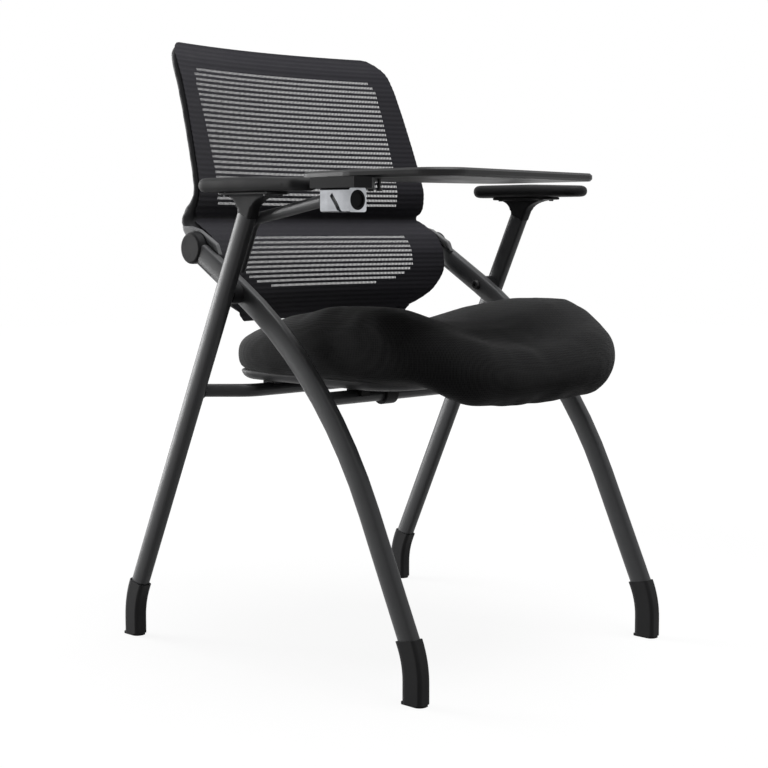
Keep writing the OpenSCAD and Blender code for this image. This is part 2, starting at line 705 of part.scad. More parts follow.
// Moulded pan: a deck with a skirt and two ribs below it
module seat_pan() {
  r = 56;
  color("#555555") difference() {
    union() {
      translate([0, 0, pan_low_z]) linear_extrude(height = seat_split_z - pan_low_z) difference() {
        polygon(rounded_box(-pan_half_w, pan_half_w, pan_front_y, pan_rear_y, r));
        polygon(rounded_box(pan_wall - pan_half_w, pan_half_w - pan_wall,
          pan_front_y + pan_wall, pan_rear_y - pan_wall, r - pan_wall));
      }
      translate([0, 0, deck_low_z]) linear_extrude(height = pan_deck)
        polygon(rounded_box(-pan_half_w + 1, pan_half_w - 1, pan_front_y + 1, pan_rear_y - 1, r - 1));
      for (x = [-60, 60]) translate([x - pan_wall/2, pan_front_y + 2, pan_low_z + 1])
        cube([pan_wall, pan_rear_y - pan_front_y - 4, seat_split_z - pan_low_z - 2]);
    }
    seat_fixings(screw_d + 0.2, deck_low_z - 1, 4.5);
  }
}

// Cushion surface: heights of its top and its underside
function cushion_top(x, y) = seat_mid_z
  + bolster_rise*smooth((abs(x) - 25)/165)*(1 - 0.55*smooth((y + 70)/240) - 0.2*smooth((-y - 180)/120))
  + front_swell*smooth((-y - 70)/140) - front_fall*smooth((-y - 150)/100) - rear_sink*smooth((y + 80)/260);
function cushion_low(x, y) = seat_split_z
  - roll_drop*smooth((pan_front_y - 18 - y)/62)*(1 - 0.4*smooth((abs(x) - 130)/90));
function outline_point(a) = let(square = sin(a) > 0 ? 0.4 : 0.52)
  [seat_half_w*sign(cos(a))*pow(abs(cos(a)), square),
   mix(seat_front_y, seat_rear_y, 0.5 + 0.5*sign(sin(a))*pow(abs(sin(a)), square))];

// Cushion: rings from the middle of the underside, round the edge, to the middle of the top
module seat_cushion() {
  rim_steps = [for (a = [-75:25:75]) [0.88 + 0.12*cos(a), 0.5 + 0.5*sin(a)]];
  levels = concat([for (l = [0.42:0.06:0.84]) [l, 0]], rim_steps, [[0.84, 1], [0.68, 1], [0.5, 1], [0.3, 1]]);
  n = 44;
  mid = (seat_front_y + seat_rear_y)/2;
  rings = [for (l = levels) for (k = [0:n-1])
    let(p = outline_point(360*k/n), x = l[0]*p.x, y = mid + l[0]*(p.y - mid))
      [x, y, mix(cushion_low(x, y), cushion_top(x, y), l[1])]];
  m = len(levels);
  color("#222226") polyhedron(
    concat(rings, [[0, mid, cushion_low(0, mid)], [0, mid, cushion_top(0, mid)]]),
    concat(
      [for (j = [0:m-2], k = [0:n-1]) let(a = j*n, b = (j + 1)*n, k2 = (k + 1) % n) each
        [[a + k, b + k, b + k2], [a + k, b + k2, a + k2]]],
      [for (k = [0:n-1]) [m*n, k, (k + 1) % n]],
      [for (k = [0:n-1]) [m*n + 1, (m - 1)*n + (k + 1) % n, (m - 1)*n + k]]));
}

// Shoe of a seat fitting: a block from the deck down round the tube at (y, z)
module shoe(x, y, z, w, wall, fit, lug) {
  r = cross_d/2 + fit;
  translate([x - w/2, y, z]) difference() {
    union() {
      if (lug) rotate([0, 90, 0]) cylinder(r = r + wall, h = w);
      translate([0, -r - wall, 0]) cube([w, 2*(r + wall), deck_low_z - z]);
    }
    translate([-1, 0, 0]) rotate([0, 90, 0]) cylinder(r = r, h = w + 2);
  }
}

flange_t = 4;
flange_reach = 12;

// Places of the seat screws, as cylinders of diameter d from the height z
module seat_fixings(d, z, h) {
  off = cross_d/2 + clamp_wall + flange_reach/2 + 1;
  for (x = [-clamp_x, clamp_x], y = [front_cross_y, rear_cross_y], s = [-1, 1])
    translate([x, y + s*off, z]) cylinder(d = d, h = h);
}

module clamp_body(x, y, z, fit) {
  r = cross_d/2 + clamp_wall;
  shoe(x, y, z, clamp_w, clamp_wall, fit, true);
  for (s = [0, 1])
    translate([x - clamp_w/2, y + (s == 0 ? -r - flange_reach : r - 1), deck_low_z - flange_t])
      cube([clamp_w, flange_reach + 1, flange_t]);
}

module seat_clamps() {
  color("#2b2b2b") difference() {
    for (x = [-clamp_x, clamp_x]) clamp_body(x, front_cross_y, front_cross_z, clamp_fit);
    seat_fixings(screw_d + 0.2, 0, 1000);
  }
}

// Hooks over the rear cross tube, open to the lower front so that the tube leaves them
module seat_hooks() {
  color("#2b2b2b") difference() {
    for (x = [-clamp_x, clamp_x]) clamp_body(x, rear_cross_y, rear_cross_z, rest_gap);
    seat_fixings(screw_d + 0.2, 0, 1000);
    hook_mouth();
  }
}

module hook_mouth() {
  translate([-pan_half_w, rear_cross_y, rear_cross_z]) rotate([-45, 0, 0])
    translate([0, -60, -60]) cube([2*pan_half_w, 120, 60]);
}

module seat_saddles() {
  color("#232323") {
    difference() {
      for (x = [-saddle_x, saddle_x]) shoe(x, front_cross_y, front_cross_z, saddle_w, clamp_wall, rest_gap, false);
      translate([-pan_half_w, front_cross_y - 40, 0]) cube([2*pan_half_w, 80, front_cross_z + 1]);
    }
    difference() {
      for (x = [-saddle_x, saddle_x]) shoe(x, rear_cross_y, rear_cross_z, saddle_w, clamp_wall, rest_gap, false);
      hook_mouth();
    }
  }
}

module seat_screws() {
  color("silver") {
    seat_fixings(screw_d, deck_low_z - flange_t, flange_t + 3);
    seat_fixings(screw_d + 4, deck_low_z - flange_t - 3, 3);
  }
}

// Curve from a to b that leans towards c
function curve(a, c, b) = [for (i = [0:8]) let(t = i/8) a*(1 - t)*(1 - t) + c*2*t*(1 - t) + b*t*t];

pad_low_z = pad_top_z - pad_t;
arm_plate_y = pad_mid_y + 7;

module on_arm(side) {
  translate([side*rear_leg_x, 0, 0]) children();
}

// Places of the screws between an arm bracket's plate and its pad
module arm_fixings(d, z, h) {
  for (x = [-1, 1]*(arm_plate_w + leg_w)/4, y = [-1, 1]*arm_plate_l*0.34)
    translate([x, arm_plate_y + y, z]) cylinder(d = d, h = h);
}

module arm_bracket(side) {
  half = rear_leg_d/2/cos(rear_lean);
  neck_z = rear_top_z + 10;
  neck_y = at_height(pivot, rear_ankle, neck_z).x;
  plate_z = pad_low_z - arm_plate_t;
  front_y = arm_plate_y - arm_plate_l/2;
  rear_y = arm_plate_y + arm_plate_l/2;
  color("#333333") on_arm(side) difference() {
    union() {
      bent_run(in_plane(0, [rear_top + rear_dir*spigot_l, rear_top]), [0, 0])
        rotate(180) leg_section(rear_leg_d, -leg_wall - spigot_fit);
      bent_run(in_plane(0, [rear_top - rear_dir*(neck_z - rear_top_z + 6), rear_top]), [0, 0])
        leg_section(rear_leg_d);
      translate([-leg_w/2, 0, 0]) rotate([90, 0, 90]) linear_extrude(height = leg_w)
        polygon(concat(curve([rear_y - 4, plate_z + 1], [neck_y + half + 2, plate_z - 2], [neck_y + half, neck_z]),
          curve([neck_y - half, neck_z], [neck_y - half - 6, plate_z - 3], [front_y + 4, plate_z + 1])));
      translate([0, 0, plate_z]) linear_extrude(height = arm_plate_t)
        polygon(rounded_box(-arm_plate_w/2, arm_plate_w/2, front_y, rear_y, 12));
    }
    arm_fixings(4.4, 0, 1000);
  }
}

// Arm pad: thick at the rear and slimmer towards its front tip
module arm_pad(side) {
  end_r = pad_w/2;
  color("#262626") on_arm(side) difference() {
    hull() {
      translate([0, pad_mid_y + pad_l/2 - end_r, pad_low_z]) pad_end(end_r, pad_t);
      translate([0, pad_mid_y, pad_low_z]) pad_end(end_r, pad_t);
      translate([0, pad_mid_y - pad_l/2 + end_r - 2, pad_low_z]) pad_end(end_r - 2, pad_t - 3);
    }
    arm_fixings(4.2, pad_low_z - 1, 9);
  }
}

// Round end of an arm pad, flat below and rounded at its edge
module pad_end(r, t) {
  edge = t*0.46;
  rotate_extrude($fn = soft_fn) polygon(concat([[0, 0]],
    [for (a = [-90:30:90]) [r - edge + edge*cos(a), t/2 + (t/2)*sin(a)]], [[0, t]]));
}

module arm_screws() {
  plate_z = pad_low_z - arm_plate_t;
  color("silver") for (side = [-1, 1]) on_arm(side) {
    arm_fixings(4, plate_z, arm_plate_t + 7);
    arm_fixings(7, plate_z - 2, 2);
  }
}

module arm_bracket_right() arm_bracket(-1);
module arm_bracket_left() arm_bracket(1);
module arm_pad_right() arm_pad(-1);
module arm_pad_left() arm_pad(1);

// Support tube of the tablet: down along the rear leg's inner face, then forward into the block
tube_x = rear_inner_x - arm_tube_d/2;
tube_low = at_height(pivot, rear_ankle, arm_tube_low_z);
tube_bend = at_height(pivot, rear_ankle, arm_tube_bend_z);
block_front_y = block_rear_y - block_l;
tube_end_y = block_front_y + plug_t + 2;
tube_forward = 2.2*arm_tube_d;
tube_path = [[-tube_x, tube_low.x, tube_low.y], [-tube_x, tube_bend.x, tube_bend.y],
  [-tube_x, tube_bend.x - tube_forward, mix(tube_bend.y, swivel_z, 0.23)],
  [-swivel_x, block_rear_y + 9, swivel_z], [-swivel_x, tube_end_y, swivel_z]];

module tablet_tube() {
  color("#3a3a3a") difference() {
    bent_run(tube_path, [0, arm_tube_r, 2*arm_tube_r, arm_tube_r, 0]) {
      circle(d = arm_tube_d);
      circle(d = arm_tube_d - 2*seam);
    }
    on_slot(slot_rest_turn, 0) cylinder(d = pin_d, h = block_side);
  }
}

// The slot in the block is a helix about the swivel axis. Its turn is counted downwards from the
// outer side, and the tablet travels forward as it is flipped up.
slot_rest_turn = 76;
slot_rest_y = block_rear_y - 43;

// Puts +Z along the slot's radius at a turn, with the tablet moved forward by travel
module on_slot(turn, travel) {
  translate([-swivel_x, slot_rest_y + travel, swivel_z]) rotate([0, -turn, 0]) rotate([0, -90, 0]) children();
}

module guide_pin() {
  color("silver") on_slot(slot_rest_turn, 0) translate([0, 0, 1]) cylinder(d = pin_d, h = block_side/2 - 1.5);
}

// Bush keyed to the pin: it slides with the block and doesn't turn
module swivel_bush() {
  r = arm_tube_d/2 + sleeve_fit;
  color("#d8d8d0") difference() {
    translate([-swivel_x, block_rear_y - 0.5, swivel_z]) rotate([90, 0, 0])
      cylinder(r = arm_tube_d/2 + sleeve_wall - sleeve_fit, h = block_l - plug_t - 1.5);
    translate([-swivel_x, block_rear_y + 1, swivel_z]) rotate([90, 0, 0]) cylinder(r = r, h = block_l);
    for (t = [0, 1]) on_slot(slot_rest_turn, t*flip_travel) cylinder(d = pin_d + 2*pin_fit, h = block_side);
    on_slot(slot_rest_turn, 0) translate([-pin_d/2 - pin_fit, 0, 0])
      cube([pin_d + 2*pin_fit, flip_travel, block_side]);
  }
}

// Die-cast block that turns on the bush, with the helical slot that the pin runs in
module swivel_block() {
  s = block_side/2;
  color("gainsboro") difference() {
    translate([-swivel_x, block_rear_y, swivel_z]) rotate([90, 0, 0]) linear_extrude(height = block_l)
      polygon(rounded_box(-s, s, -s, s, block_edge_r));
    translate([-swivel_x, block_rear_y + 1, swivel_z]) rotate([90, 0, 0])
      cylinder(r = arm_tube_d/2 + sleeve_wall, h = block_l - plug_t + 1);
    translate([-swivel_x, block_front_y + plug_t, swivel_z]) rotate([90, 0, 0])
      cylinder(d = plug_d, h = plug_t + 1);
    helix_cut();
  }
}

// Cutter of the helical slot, swept along the radius over the tablet's whole turn
module helix_cut() {
  steps = 24;
  half = pin_d/2 + pin_fit;
  reach = block_side;
  extra = 11;
  rows = [for (i = [0:steps])
    let(turn = -extra + (flip_turn + 2*extra)*i/steps, travel = flip_travel*turn/flip_turn,
        a = slot_rest_turn - turn, d = [-cos(a), 0, -sin(a)], arc = flip_turn*PI/180*block_side/2,
        side = cross(d, unit([-arc*sin(a), flip_travel, arc*cos(a)])),
        c = [-swivel_x, slot_rest_y + travel, swivel_z], inner = arm_tube_d/2)
      each [c + d*inner + side*half, c + d*inner - side*half,
        c + d*reach - side*half, c + d*reach + side*half]];
  polyhedron(rows, concat(
    [[3, 2, 1, 0]], [for (i = [0:steps-1], k = [0:3]) let(a = 4*i, b = 4*(i + 1), k2 = (k + 1) % 4)
      each [[a + k, b + k2, b + k], [a + k, a + k2, b + k2]]],
    [[4*steps, 4*steps + 1, 4*steps + 2, 4*steps + 3]]));
}

module block_plug() {
  color("#151515") translate([-swivel_x, block_front_y + plug_t - 0.3, swivel_z]) rotate([90, 0, 0]) difference() {
    cylinder(d = plug_d - 0.2, h = plug_t);
    translate([0, 0, plug_t - 2]) cylinder(d = plug_d - 6, h = 3);
  }
}

holder_low_z = swivel_z + block_side/2;
holder_outer_x = -swivel_x - 18;

// Plate between the block and the board, with a wing that reaches under the board
module tablet_holder() {
  color("#1c1c1c") difference() {
    translate([0, 0, holder_low_z]) linear_extrude(height = board_low_z - holder_low_z)
      polygon([[holder_outer_x, block_rear_y + 17], [holder_outer_x, block_front_y - 12],
        [-swivel_x + 14, block_front_y - 12], [-swivel_x + 90, block_front_y + 60],
        [-swivel_x + 90, block_rear_y + 17]]);
    tablet_fixings(5.2, 0, 1000);
  }
}

// Places of the screws that go up through the holder into the board
module tablet_fixings(d, z, h) {
  for (p = [[46, block_rear_y - 4], [78, block_rear_y + 2], [78, block_rear_y - 14], [42, block_rear_y - 22]])
    translate([p.x - swivel_x, p.y, z]) cylinder(d = d, h = h);
}

module tablet_screws() {
  color("silver") {
    tablet_fixings(5, holder_low_z, board_low_z - holder_low_z + 7);
    tablet_fixings(9, holder_low_z - 2.5, 2.5);
  }
}

// Corners of the board, each [x, y, radius]
board_corners = [[-207, -274.5, 45], [85, -260.5, 26], [75, -117.5, 34], [-202, -67.5, 38],
  [-156, -159.5, 100]];

module tablet_board() {
  color("#2a2a2c") difference() {
    hull() for (c = board_corners) translate([c.x, c.y, board_low_z]) {
      cylinder(r1 = c[2] - board_bevel, r2 = c[2], h = board_bevel, $fn = 48);
      translate([0, 0, board_bevel]) cylinder(r = c[2], h = board_t - 2*board_bevel, $fn = 48);
      translate([0, 0, board_t - board_bevel])
        cylinder(r1 = c[2], r2 = c[2] - board_bevel, h = board_bevel, $fn = 48);
    }
    tablet_fixings(5.2, board_low_z - 1, 8.5);
  }
}

front_leg_right();
front_leg_left();
front_cross_tube();
front_boots();
front_glides();
pivot_bushes();
end_hubs();
back_brackets();
back_frame();
back_mesh();
lumbar_mesh();
rear_leg_right();
rear_leg_left();
rear_cross_tube();
rear_boots();
rear_glides();
pivot_bolts();
pivot_spacers();
pivot_inserts();
arm_bracket_right();
arm_bracket_left();
arm_pad_right();
arm_pad_left();
arm_screws();
tablet_tube();
guide_pin();
swivel_bush();
swivel_block();
block_plug();
tablet_holder();
tablet_board();
tablet_screws();
seat_pan();
seat_cushion();
seat_clamps();
seat_hooks();
seat_saddles();
seat_screws();
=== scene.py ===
"""Looks of a folding chair with a padded seat, a mesh back, arm pads and a writing tablet.

Lengths are in metres. X runs towards the sitter's left, the chair faces -Y and Z is up.
"""

import logging
import math
from dataclasses import dataclass, field
from enum import Enum
from typing import Callable, Sequence

import bpy
from mathutils import Matrix, Vector


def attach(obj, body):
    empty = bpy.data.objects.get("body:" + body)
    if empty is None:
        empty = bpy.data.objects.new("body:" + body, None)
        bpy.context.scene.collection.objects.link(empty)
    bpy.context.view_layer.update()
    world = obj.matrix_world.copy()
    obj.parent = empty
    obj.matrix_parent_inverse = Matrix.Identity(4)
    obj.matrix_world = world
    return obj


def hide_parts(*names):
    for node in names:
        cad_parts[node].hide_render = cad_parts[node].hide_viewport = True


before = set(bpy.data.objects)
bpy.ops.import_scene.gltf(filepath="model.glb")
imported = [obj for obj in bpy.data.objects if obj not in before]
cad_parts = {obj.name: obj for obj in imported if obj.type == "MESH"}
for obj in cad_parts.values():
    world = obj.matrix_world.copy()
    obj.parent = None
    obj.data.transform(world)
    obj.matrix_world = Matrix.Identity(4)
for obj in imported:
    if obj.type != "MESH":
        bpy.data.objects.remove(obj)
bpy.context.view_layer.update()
LOG = logging.getLogger("chair")
Piece = bpy.types.Object
Tree = bpy.types.NodeTree
Socket = bpy.types.NodeSocket
MERGE_CAD = 0.00005
MERGE_GRID = 0.00002
CORNER_FOLLOWED = 0.98
NOISE_SPAN = (0.3, 0.7)
GRAIN_SHARE = 0.15
WAVE_BAND = 0.3142
SIDES = ((-1.0, "right"), (1.0, "left"))


def deselect() -> None:
    """Leave nothing selected and no object in edit mode."""
    if bpy.context.object and bpy.context.object.mode != "OBJECT":
        bpy.ops.object.mode_set(mode="OBJECT")
    bpy.ops.object.select_all(action="DESELECT")


def activate(piece: Piece) -> None:
    """Select one object alone and make it the active one.

    Args:
        piece: The object to select.
    """
    deselect()
    piece.select_set(True)
    bpy.context.view_layer.objects.active = piece


def apply_modifiers(piece: Piece) -> None:
    """Apply every modifier of a piece, in order.

    Args:
        piece: The object whose modifiers are applied.
    """
    activate(piece)
    for name in [m.name for m in piece.modifiers]:
        bpy.ops.object.modifier_apply(modifier=name)


def settle(piece: Piece, name: str) -> Piece:
    """Name a piece and move its place, turn and scale into its mesh.

    Args:
        piece: The object to settle.
        name: The name that it gets.

    Returns:
        The same object, at the origin.
    """
    activate(piece)
    bpy.ops.object.transform_apply(location=True, rotation=True, scale=True)
    piece.name = name
    piece.data.name = name
    return piece


def smooth(piece: Piece, angle: float = 60.0) -> None:
    """Shade a piece smooth except over its sharp edges.

    Args:
        piece: The object to shade.
        angle: Edges sharper than this many degrees stay sharp.
    """
    activate(piece)
    bpy.ops.object.shade_smooth_by_angle(angle=math.radians(angle))


def select_faces(piece: Piece, numbers: Sequence[int]) -> None:
    """Enter edit mode with exactly the given faces selected.

    Args:
        piece: The object to edit.
        numbers: Indices of the faces.
    """
    activate(piece)
    bpy.ops.object.mode_set(mode="EDIT")
    bpy.ops.mesh.select_mode(type="FACE")
    bpy.ops.mesh.select_all(action="DESELECT")
    bpy.ops.object.mode_set(mode="OBJECT")
    for number in numbers:
        piece.data.polygons[number].select = True
    bpy.ops.object.mode_set(mode="EDIT")


def ease(value: float) -> float:
    """Smooth step from 0 to 1.

    Args:
        value: Any number; below 0 gives 0 and above 1 gives 1.

    Returns:
        The eased value.
    """
    t = max(0.0, min(1.0, value))
    return t * t * (3.0 - 2.0 * t)


def copy_node(name: str) -> Piece:
    """Copy a node's mesh into a new object, with its loose triangles merged.

    Args:
        name: The node to copy.

    Returns:
        The new object, without a parent or marks of the node.
    """
    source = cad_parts[name]
    piece = source.copy()
    piece.data = source.data.copy()
    piece.parent = None
    bpy.context.scene.collection.objects.link(piece)
    for key in list(piece.keys()):
        del piece[key]
    activate(piece)
    bpy.ops.object.mode_set(mode="EDIT")
    bpy.ops.mesh.select_all(action="SELECT")
    bpy.ops.mesh.remove_doubles(threshold=MERGE_CAD)
    bpy.ops.mesh.normals_make_consistent(inside=False)
    bpy.ops.object.mode_set(mode="OBJECT")
    return piece


def reskin(piece: Piece, voxel: float) -> None:
    """Replace a closed mesh by an even skin of small faces.

    Args:
        piece: The object to reskin.
        voxel: Size of the new faces.
    """
    skin = piece.modifiers.new("skin", "REMESH")
    skin.mode = "VOXEL"
    skin.voxel_size = voxel
    apply_modifiers(piece)


def relax(piece: Piece, rounds: int) -> None:
    """Round the edges of an evenly skinned mesh.

    Args:
        piece: The object to smooth.
        rounds: How often its points move half of the way to their neighbours.
    """
    soften = piece.modifiers.new("soften", "SMOOTH")
    soften.factor = 0.5
    soften.iterations = rounds
    apply_modifiers(piece)


def skin_node(node: str, name: str, voxel: float, rounds: int) -> Piece:
    """Model a rounded skin from a node's own shape.

    Args:
        node: The node to copy.
        name: Name of the new object.
        voxel: Size of its faces.
        rounds: How often it is relaxed.

    Returns:
        The new object.
    """
    piece = copy_node(node)
    reskin(piece, voxel)
    relax(piece, rounds)
    settle(piece, name)
    smooth(piece)
    return piece


def wrap_grid(name: str, across: int, along: int, place: Callable[[int, int], Vector],
              drop: Callable[[int, int], bool] | None = None) -> Piece:
    """Wrap a flat grid into a surface.

    Args:
        name: Name of the new object.
        across: Faces across the grid.
        along: Faces along the grid.
        place: Gives the place of the grid point at a column and a row.
        drop: Tells which faces, by column and row, are cut out.

    Returns:
        The new object, with points that coincide merged.
    """
    deselect()
    bpy.ops.mesh.primitive_grid_add(x_subdivisions=across, y_subdivisions=along, size=1.0)
    piece = bpy.context.object
    mesh = piece.data
    gone = []
    if drop:
        for polygon in mesh.polygons:
            column = int((polygon.center.x + 0.5) * across)
            row = int((polygon.center.y + 0.5) * along)
            if drop(column, row):
                gone.append(polygon.index)
    for vertex in mesh.vertices:
        vertex.co = place(round((vertex.co.x + 0.5) * across), round((vertex.co.y + 0.5) * along))
    if gone:
        select_faces(piece, gone)
        bpy.ops.mesh.delete(type="FACE")
        bpy.ops.object.mode_set(mode="OBJECT")
    activate(piece)
    bpy.ops.object.mode_set(mode="EDIT")
    bpy.ops.mesh.select_all(action="SELECT")
    bpy.ops.mesh.remove_doubles(threshold=MERGE_GRID)
    bpy.ops.mesh.dissolve_degenerate(threshold=MERGE_GRID)
    bpy.ops.mesh.select_all(action="SELECT")
    bpy.ops.mesh.normals_make_consistent(inside=False)
    bpy.ops.object.mode_set(mode="OBJECT")
    return settle(piece, name)


def fall_in(share: float) -> float:
    """Depth of an elliptical corner, as a share of its width, at a share of its height."""
    return 1.0 - math.sqrt(1.0 - CORNER_FOLLOWED * share * share)


def corner_in(z: float, end: float, reach: tuple[float, float]) -> float:
    """Allowance of a side near a rounded corner.

    Args:
        z: The height.
        end: Height at which the corner ends.
        reach: Width and height of the corner.

    Returns:
        How far the side lies inside its line.
    """
    width, height = reach
    share = 1.0 - abs(end - z) / height
    return 0.0 if share <= 0.0 else width * fall_in(share)


class Pattern(Enum):
    """What breaks up a finish besides its grain."""

    NONE = "none"
    THREADS = "threads"
    CELLS = "cells"


@dataclass(frozen=True)
class Finish:
    """A surface finish, built as a procedural material on Object coordinates."""

    name: str
    color: tuple[float, float, float]
    roughness: float
    metallic: float = 0.0
    shade_spread: float = 0.12
    rough_spread: float = 0.06
    patch_size: float = 0.035
    grain_size: float = 0.0009
    grain_depth: float = 0.00003
    coat: float = 0.0
    sheen: float = 0.0
    gloss: float = 0.3
    pattern: Pattern = Pattern.NONE
    pitch: float = 0.0085
    pitch_depth: float = 0.0004
    pitch_shade: float = 0.5

    def build(self) -> bpy.types.Material:
        """Make the material.

        Returns:
            A material with colour, roughness and bump from its nodes.
        """
        material = bpy.data.materials.new(self.name)
        material.use_nodes = True
        tree = material.node_tree
        shader = tree.nodes["Principled BSDF"]
        shader.inputs["Metallic"].default_value = self.metallic
        shader.inputs["Coat Weight"].default_value = self.coat
        shader.inputs["Coat Roughness"].default_value = 0.25
        shader.inputs["Sheen Weight"].default_value = self.sheen
        shader.inputs["Sheen Roughness"].default_value = 0.5
        shader.inputs["Specular IOR Level"].default_value = self.gloss
        place = tree.nodes.new("ShaderNodeTexCoord").outputs["Object"]
        patches = self.noise(tree, place, self.patch_size, 3.0)
        grain = self.noise(tree, place, self.grain_size, 2.0)
        color = self.shades(tree, patches)
        height = grain
        depth = self.grain_depth
        if self.pattern is not Pattern.NONE:
            relief = self.relief(tree, place)
            color = self.darken(tree, color, relief)
            height = self.stack(tree, relief, grain)
            depth = self.pitch_depth
        tree.links.new(color, shader.inputs["Base Color"])
        rough = tree.nodes.new("ShaderNodeMapRange")
        rough.inputs["From Min"].default_value, rough.inputs["From Max"].default_value = NOISE_SPAN
        rough.inputs["To Min"].default_value = max(0.02, self.roughness - self.rough_spread)
        rough.inputs["To Max"].default_value = min(1.0, self.roughness + self.rough_spread)
        tree.links.new(patches, rough.inputs["Value"])
        tree.links.new(rough.outputs["Result"], shader.inputs["Roughness"])
        bump = tree.nodes.new("ShaderNodeBump")
        bump.inputs["Strength"].default_value = 1.0
        bump.inputs["Distance"].default_value = depth
        tree.links.new(height, bump.inputs["Height"])
        tree.links.new(bump.outputs["Normal"], shader.inputs["Normal"])
        return material

    def noise(self, tree: Tree, place: Socket, size: float,
              detail: float) -> Socket:
        """Add a noise texture.

        Args:
            tree: The material's tree.
            place: The socket with the coordinates.
            size: Size of a blotch in metres.
            detail: Octaves of finer noise.

        Returns:
            The noise's factor socket.
        """
        texture = tree.nodes.new("ShaderNodeTexNoise")
        texture.inputs["Scale"].default_value = 1.0 / size
        texture.inputs["Detail"].default_value = detail
        tree.links.new(place, texture.inputs["Vector"])
        return texture.outputs["Fac"]

    def shades(self, tree: Tree, patches: Socket) -> Socket:
        """Spread the colour round its mean: a little random tone for most finishes, and wide patches for the
        chrome that are painted reflection streaks.

        Args:
            tree: The material's tree.
            patches: The socket with slow noise.

        Returns:
            The colour socket.
        """
        ramp = tree.nodes.new("ShaderNodeValToRGB")
        factors = (1.0 - self.shade_spread, 1.0 + self.shade_spread)
        for element, position, factor in zip(ramp.color_ramp.elements, NOISE_SPAN, factors):
            element.position = position
            element.color = (*[min(1.0, c * factor) for c in self.color], 1.0)
        tree.links.new(patches, ramp.inputs["Fac"])
        return ramp.outputs["Color"]

    def relief(self, tree: Tree, place: Socket) -> Socket:
        """Add the pattern's height.

        Args:
            tree: The material's tree.
            place: The socket with the coordinates.

        Returns:
            A socket that is low in the grooves and high on the crests.
        """
        if self.pattern is Pattern.THREADS:
            wave = tree.nodes.new("ShaderNodeTexWave")
            wave.bands_direction = "X"
            wave.inputs["Scale"].default_value = WAVE_BAND / self.pitch
            wave.inputs["Distortion"].default_value = 0.5
            wave.inputs["Detail"].default_value = 1.0
            tree.links.new(place, wave.inputs["Vector"])
            return wave.outputs["Fac"]
        cells = tree.nodes.new("ShaderNodeTexVoronoi")
        cells.inputs["Scale"].default_value = 1.0 / self.pitch
        cells.inputs["Randomness"].default_value = 0.12
        tree.links.new(place, cells.inputs["Vector"])
        return cells.outputs["Distance"]

    def darken(self, tree: Tree, color: Socket,
               relief: Socket) -> Socket:
        """Shade the grooves of the pattern.

        Args:
            tree: The material's tree.
            color: The colour socket so far.
            relief: The pattern's height socket.

        Returns:
            The new colour socket.
        """
        level = tree.nodes.new("ShaderNodeMapRange")
        level.inputs["To Min"].default_value = 1.0 - self.pitch_shade
        level.inputs["To Max"].default_value = 1.0
        tree.links.new(relief, level.inputs["Value"])
        mix = tree.nodes.new("ShaderNodeMix")
        mix.data_type = "RGBA"
        mix.blend_type = "MULTIPLY"
        mix.inputs["Factor"].default_value = 1.0
        tree.links.new(color, mix.inputs["A"])
        tree.links.new(level.outputs["Result"], mix.inputs["B"])
        return mix.outputs["Result"]

    def stack(self, tree: Tree, relief: Socket,
              grain: Socket) -> Socket:
        """Add the grain to the pattern's height.

        Args:
            tree: The material's tree.
            relief: The pattern's height socket.
            grain: The grain's height socket.

        Returns:
            The summed height socket.
        """
        add = tree.nodes.new("ShaderNodeMath")
        add.operation = "MULTIPLY_ADD"
        add.inputs[1].default_value = GRAIN_SHARE
        tree.links.new(grain, add.inputs[0])
        tree.links.new(relief, add.inputs[2])
        return add.outputs["Value"]


GRAPHITE = Finish("graphite_powder_coat", (0.078, 0.079, 0.082), 0.42, gloss=0.15, coat=0.15,
                  shade_spread=0.05, grain_size=0.0006, grain_depth=0.00002)
SATIN_BLACK = Finish("satin_black_moulding", (0.016, 0.016, 0.017), 0.52, gloss=0.10, grain_depth=0.00004)
DARK_STEEL = Finish("blackened_steel", (0.030, 0.030, 0.031), 0.38, gloss=0.3, grain_depth=0.00002)
HUB_BLACK = Finish("hub_moulding", (0.020, 0.020, 0.021), 0.54, gloss=0.08, grain_depth=0.00004)
FRAME_GREY = Finish("back_frame_moulding", (0.026, 0.026, 0.028), 0.52, gloss=0.10, grain_size=0.0011,
                    grain_depth=0.00006)
PAD_BLACK = Finish("arm_pad_skin", (0.022, 0.022, 0.023), 0.55, gloss=0.10, grain_size=0.0012,
                   grain_depth=0.00007)
BRACKET_GREY = Finish("bracket_grey_coat", (0.160, 0.161, 0.165), 0.45, gloss=0.25, grain_depth=0.00003)
BOOT_GREY = Finish("boot_moulding", (0.026, 0.026, 0.027), 0.55, gloss=0.12, grain_size=0.0011,
                   grain_depth=0.00007)
RUBBER = Finish("glide_rubber", (0.014, 0.014, 0.014), 0.75, gloss=0.2, grain_depth=0.0001)
STEEL = Finish("plated_steel", (0.50, 0.51, 0.53), 0.28, metallic=1.0, rough_spread=0.08, grain_depth=0.00002)
# The chrome's darkened colour and its wide shade spread in large patches are painted reflection: dark and
# light streaks of the surroundings painted into its colour.
CHROME = Finish("polished_chrome", (0.40, 0.41, 0.43), 0.16, metallic=1.0, shade_spread=0.30,
                rough_spread=0.05, patch_size=0.045)
PAN_GREY = Finish("pan_moulding", (0.060, 0.060, 0.062), 0.52, gloss=0.2, grain_size=0.0012,
                  grain_depth=0.00008)
BOARD_BLACK = Finish("board_laminate", (0.024, 0.024, 0.025), 0.42, gloss=0.22, grain_size=0.0007,
                     grain_depth=0.00003)
NYLON = Finish("bush_nylon", (0.72, 0.72, 0.68), 0.45)
NET_FABRIC = Finish("back_net", (0.025, 0.024, 0.030), 0.80, sheen=0.08, gloss=0.15, pattern=Pattern.THREADS,
                    pitch=0.0014, pitch_depth=0.00015, pitch_shade=0.35, grain_size=0.0005)
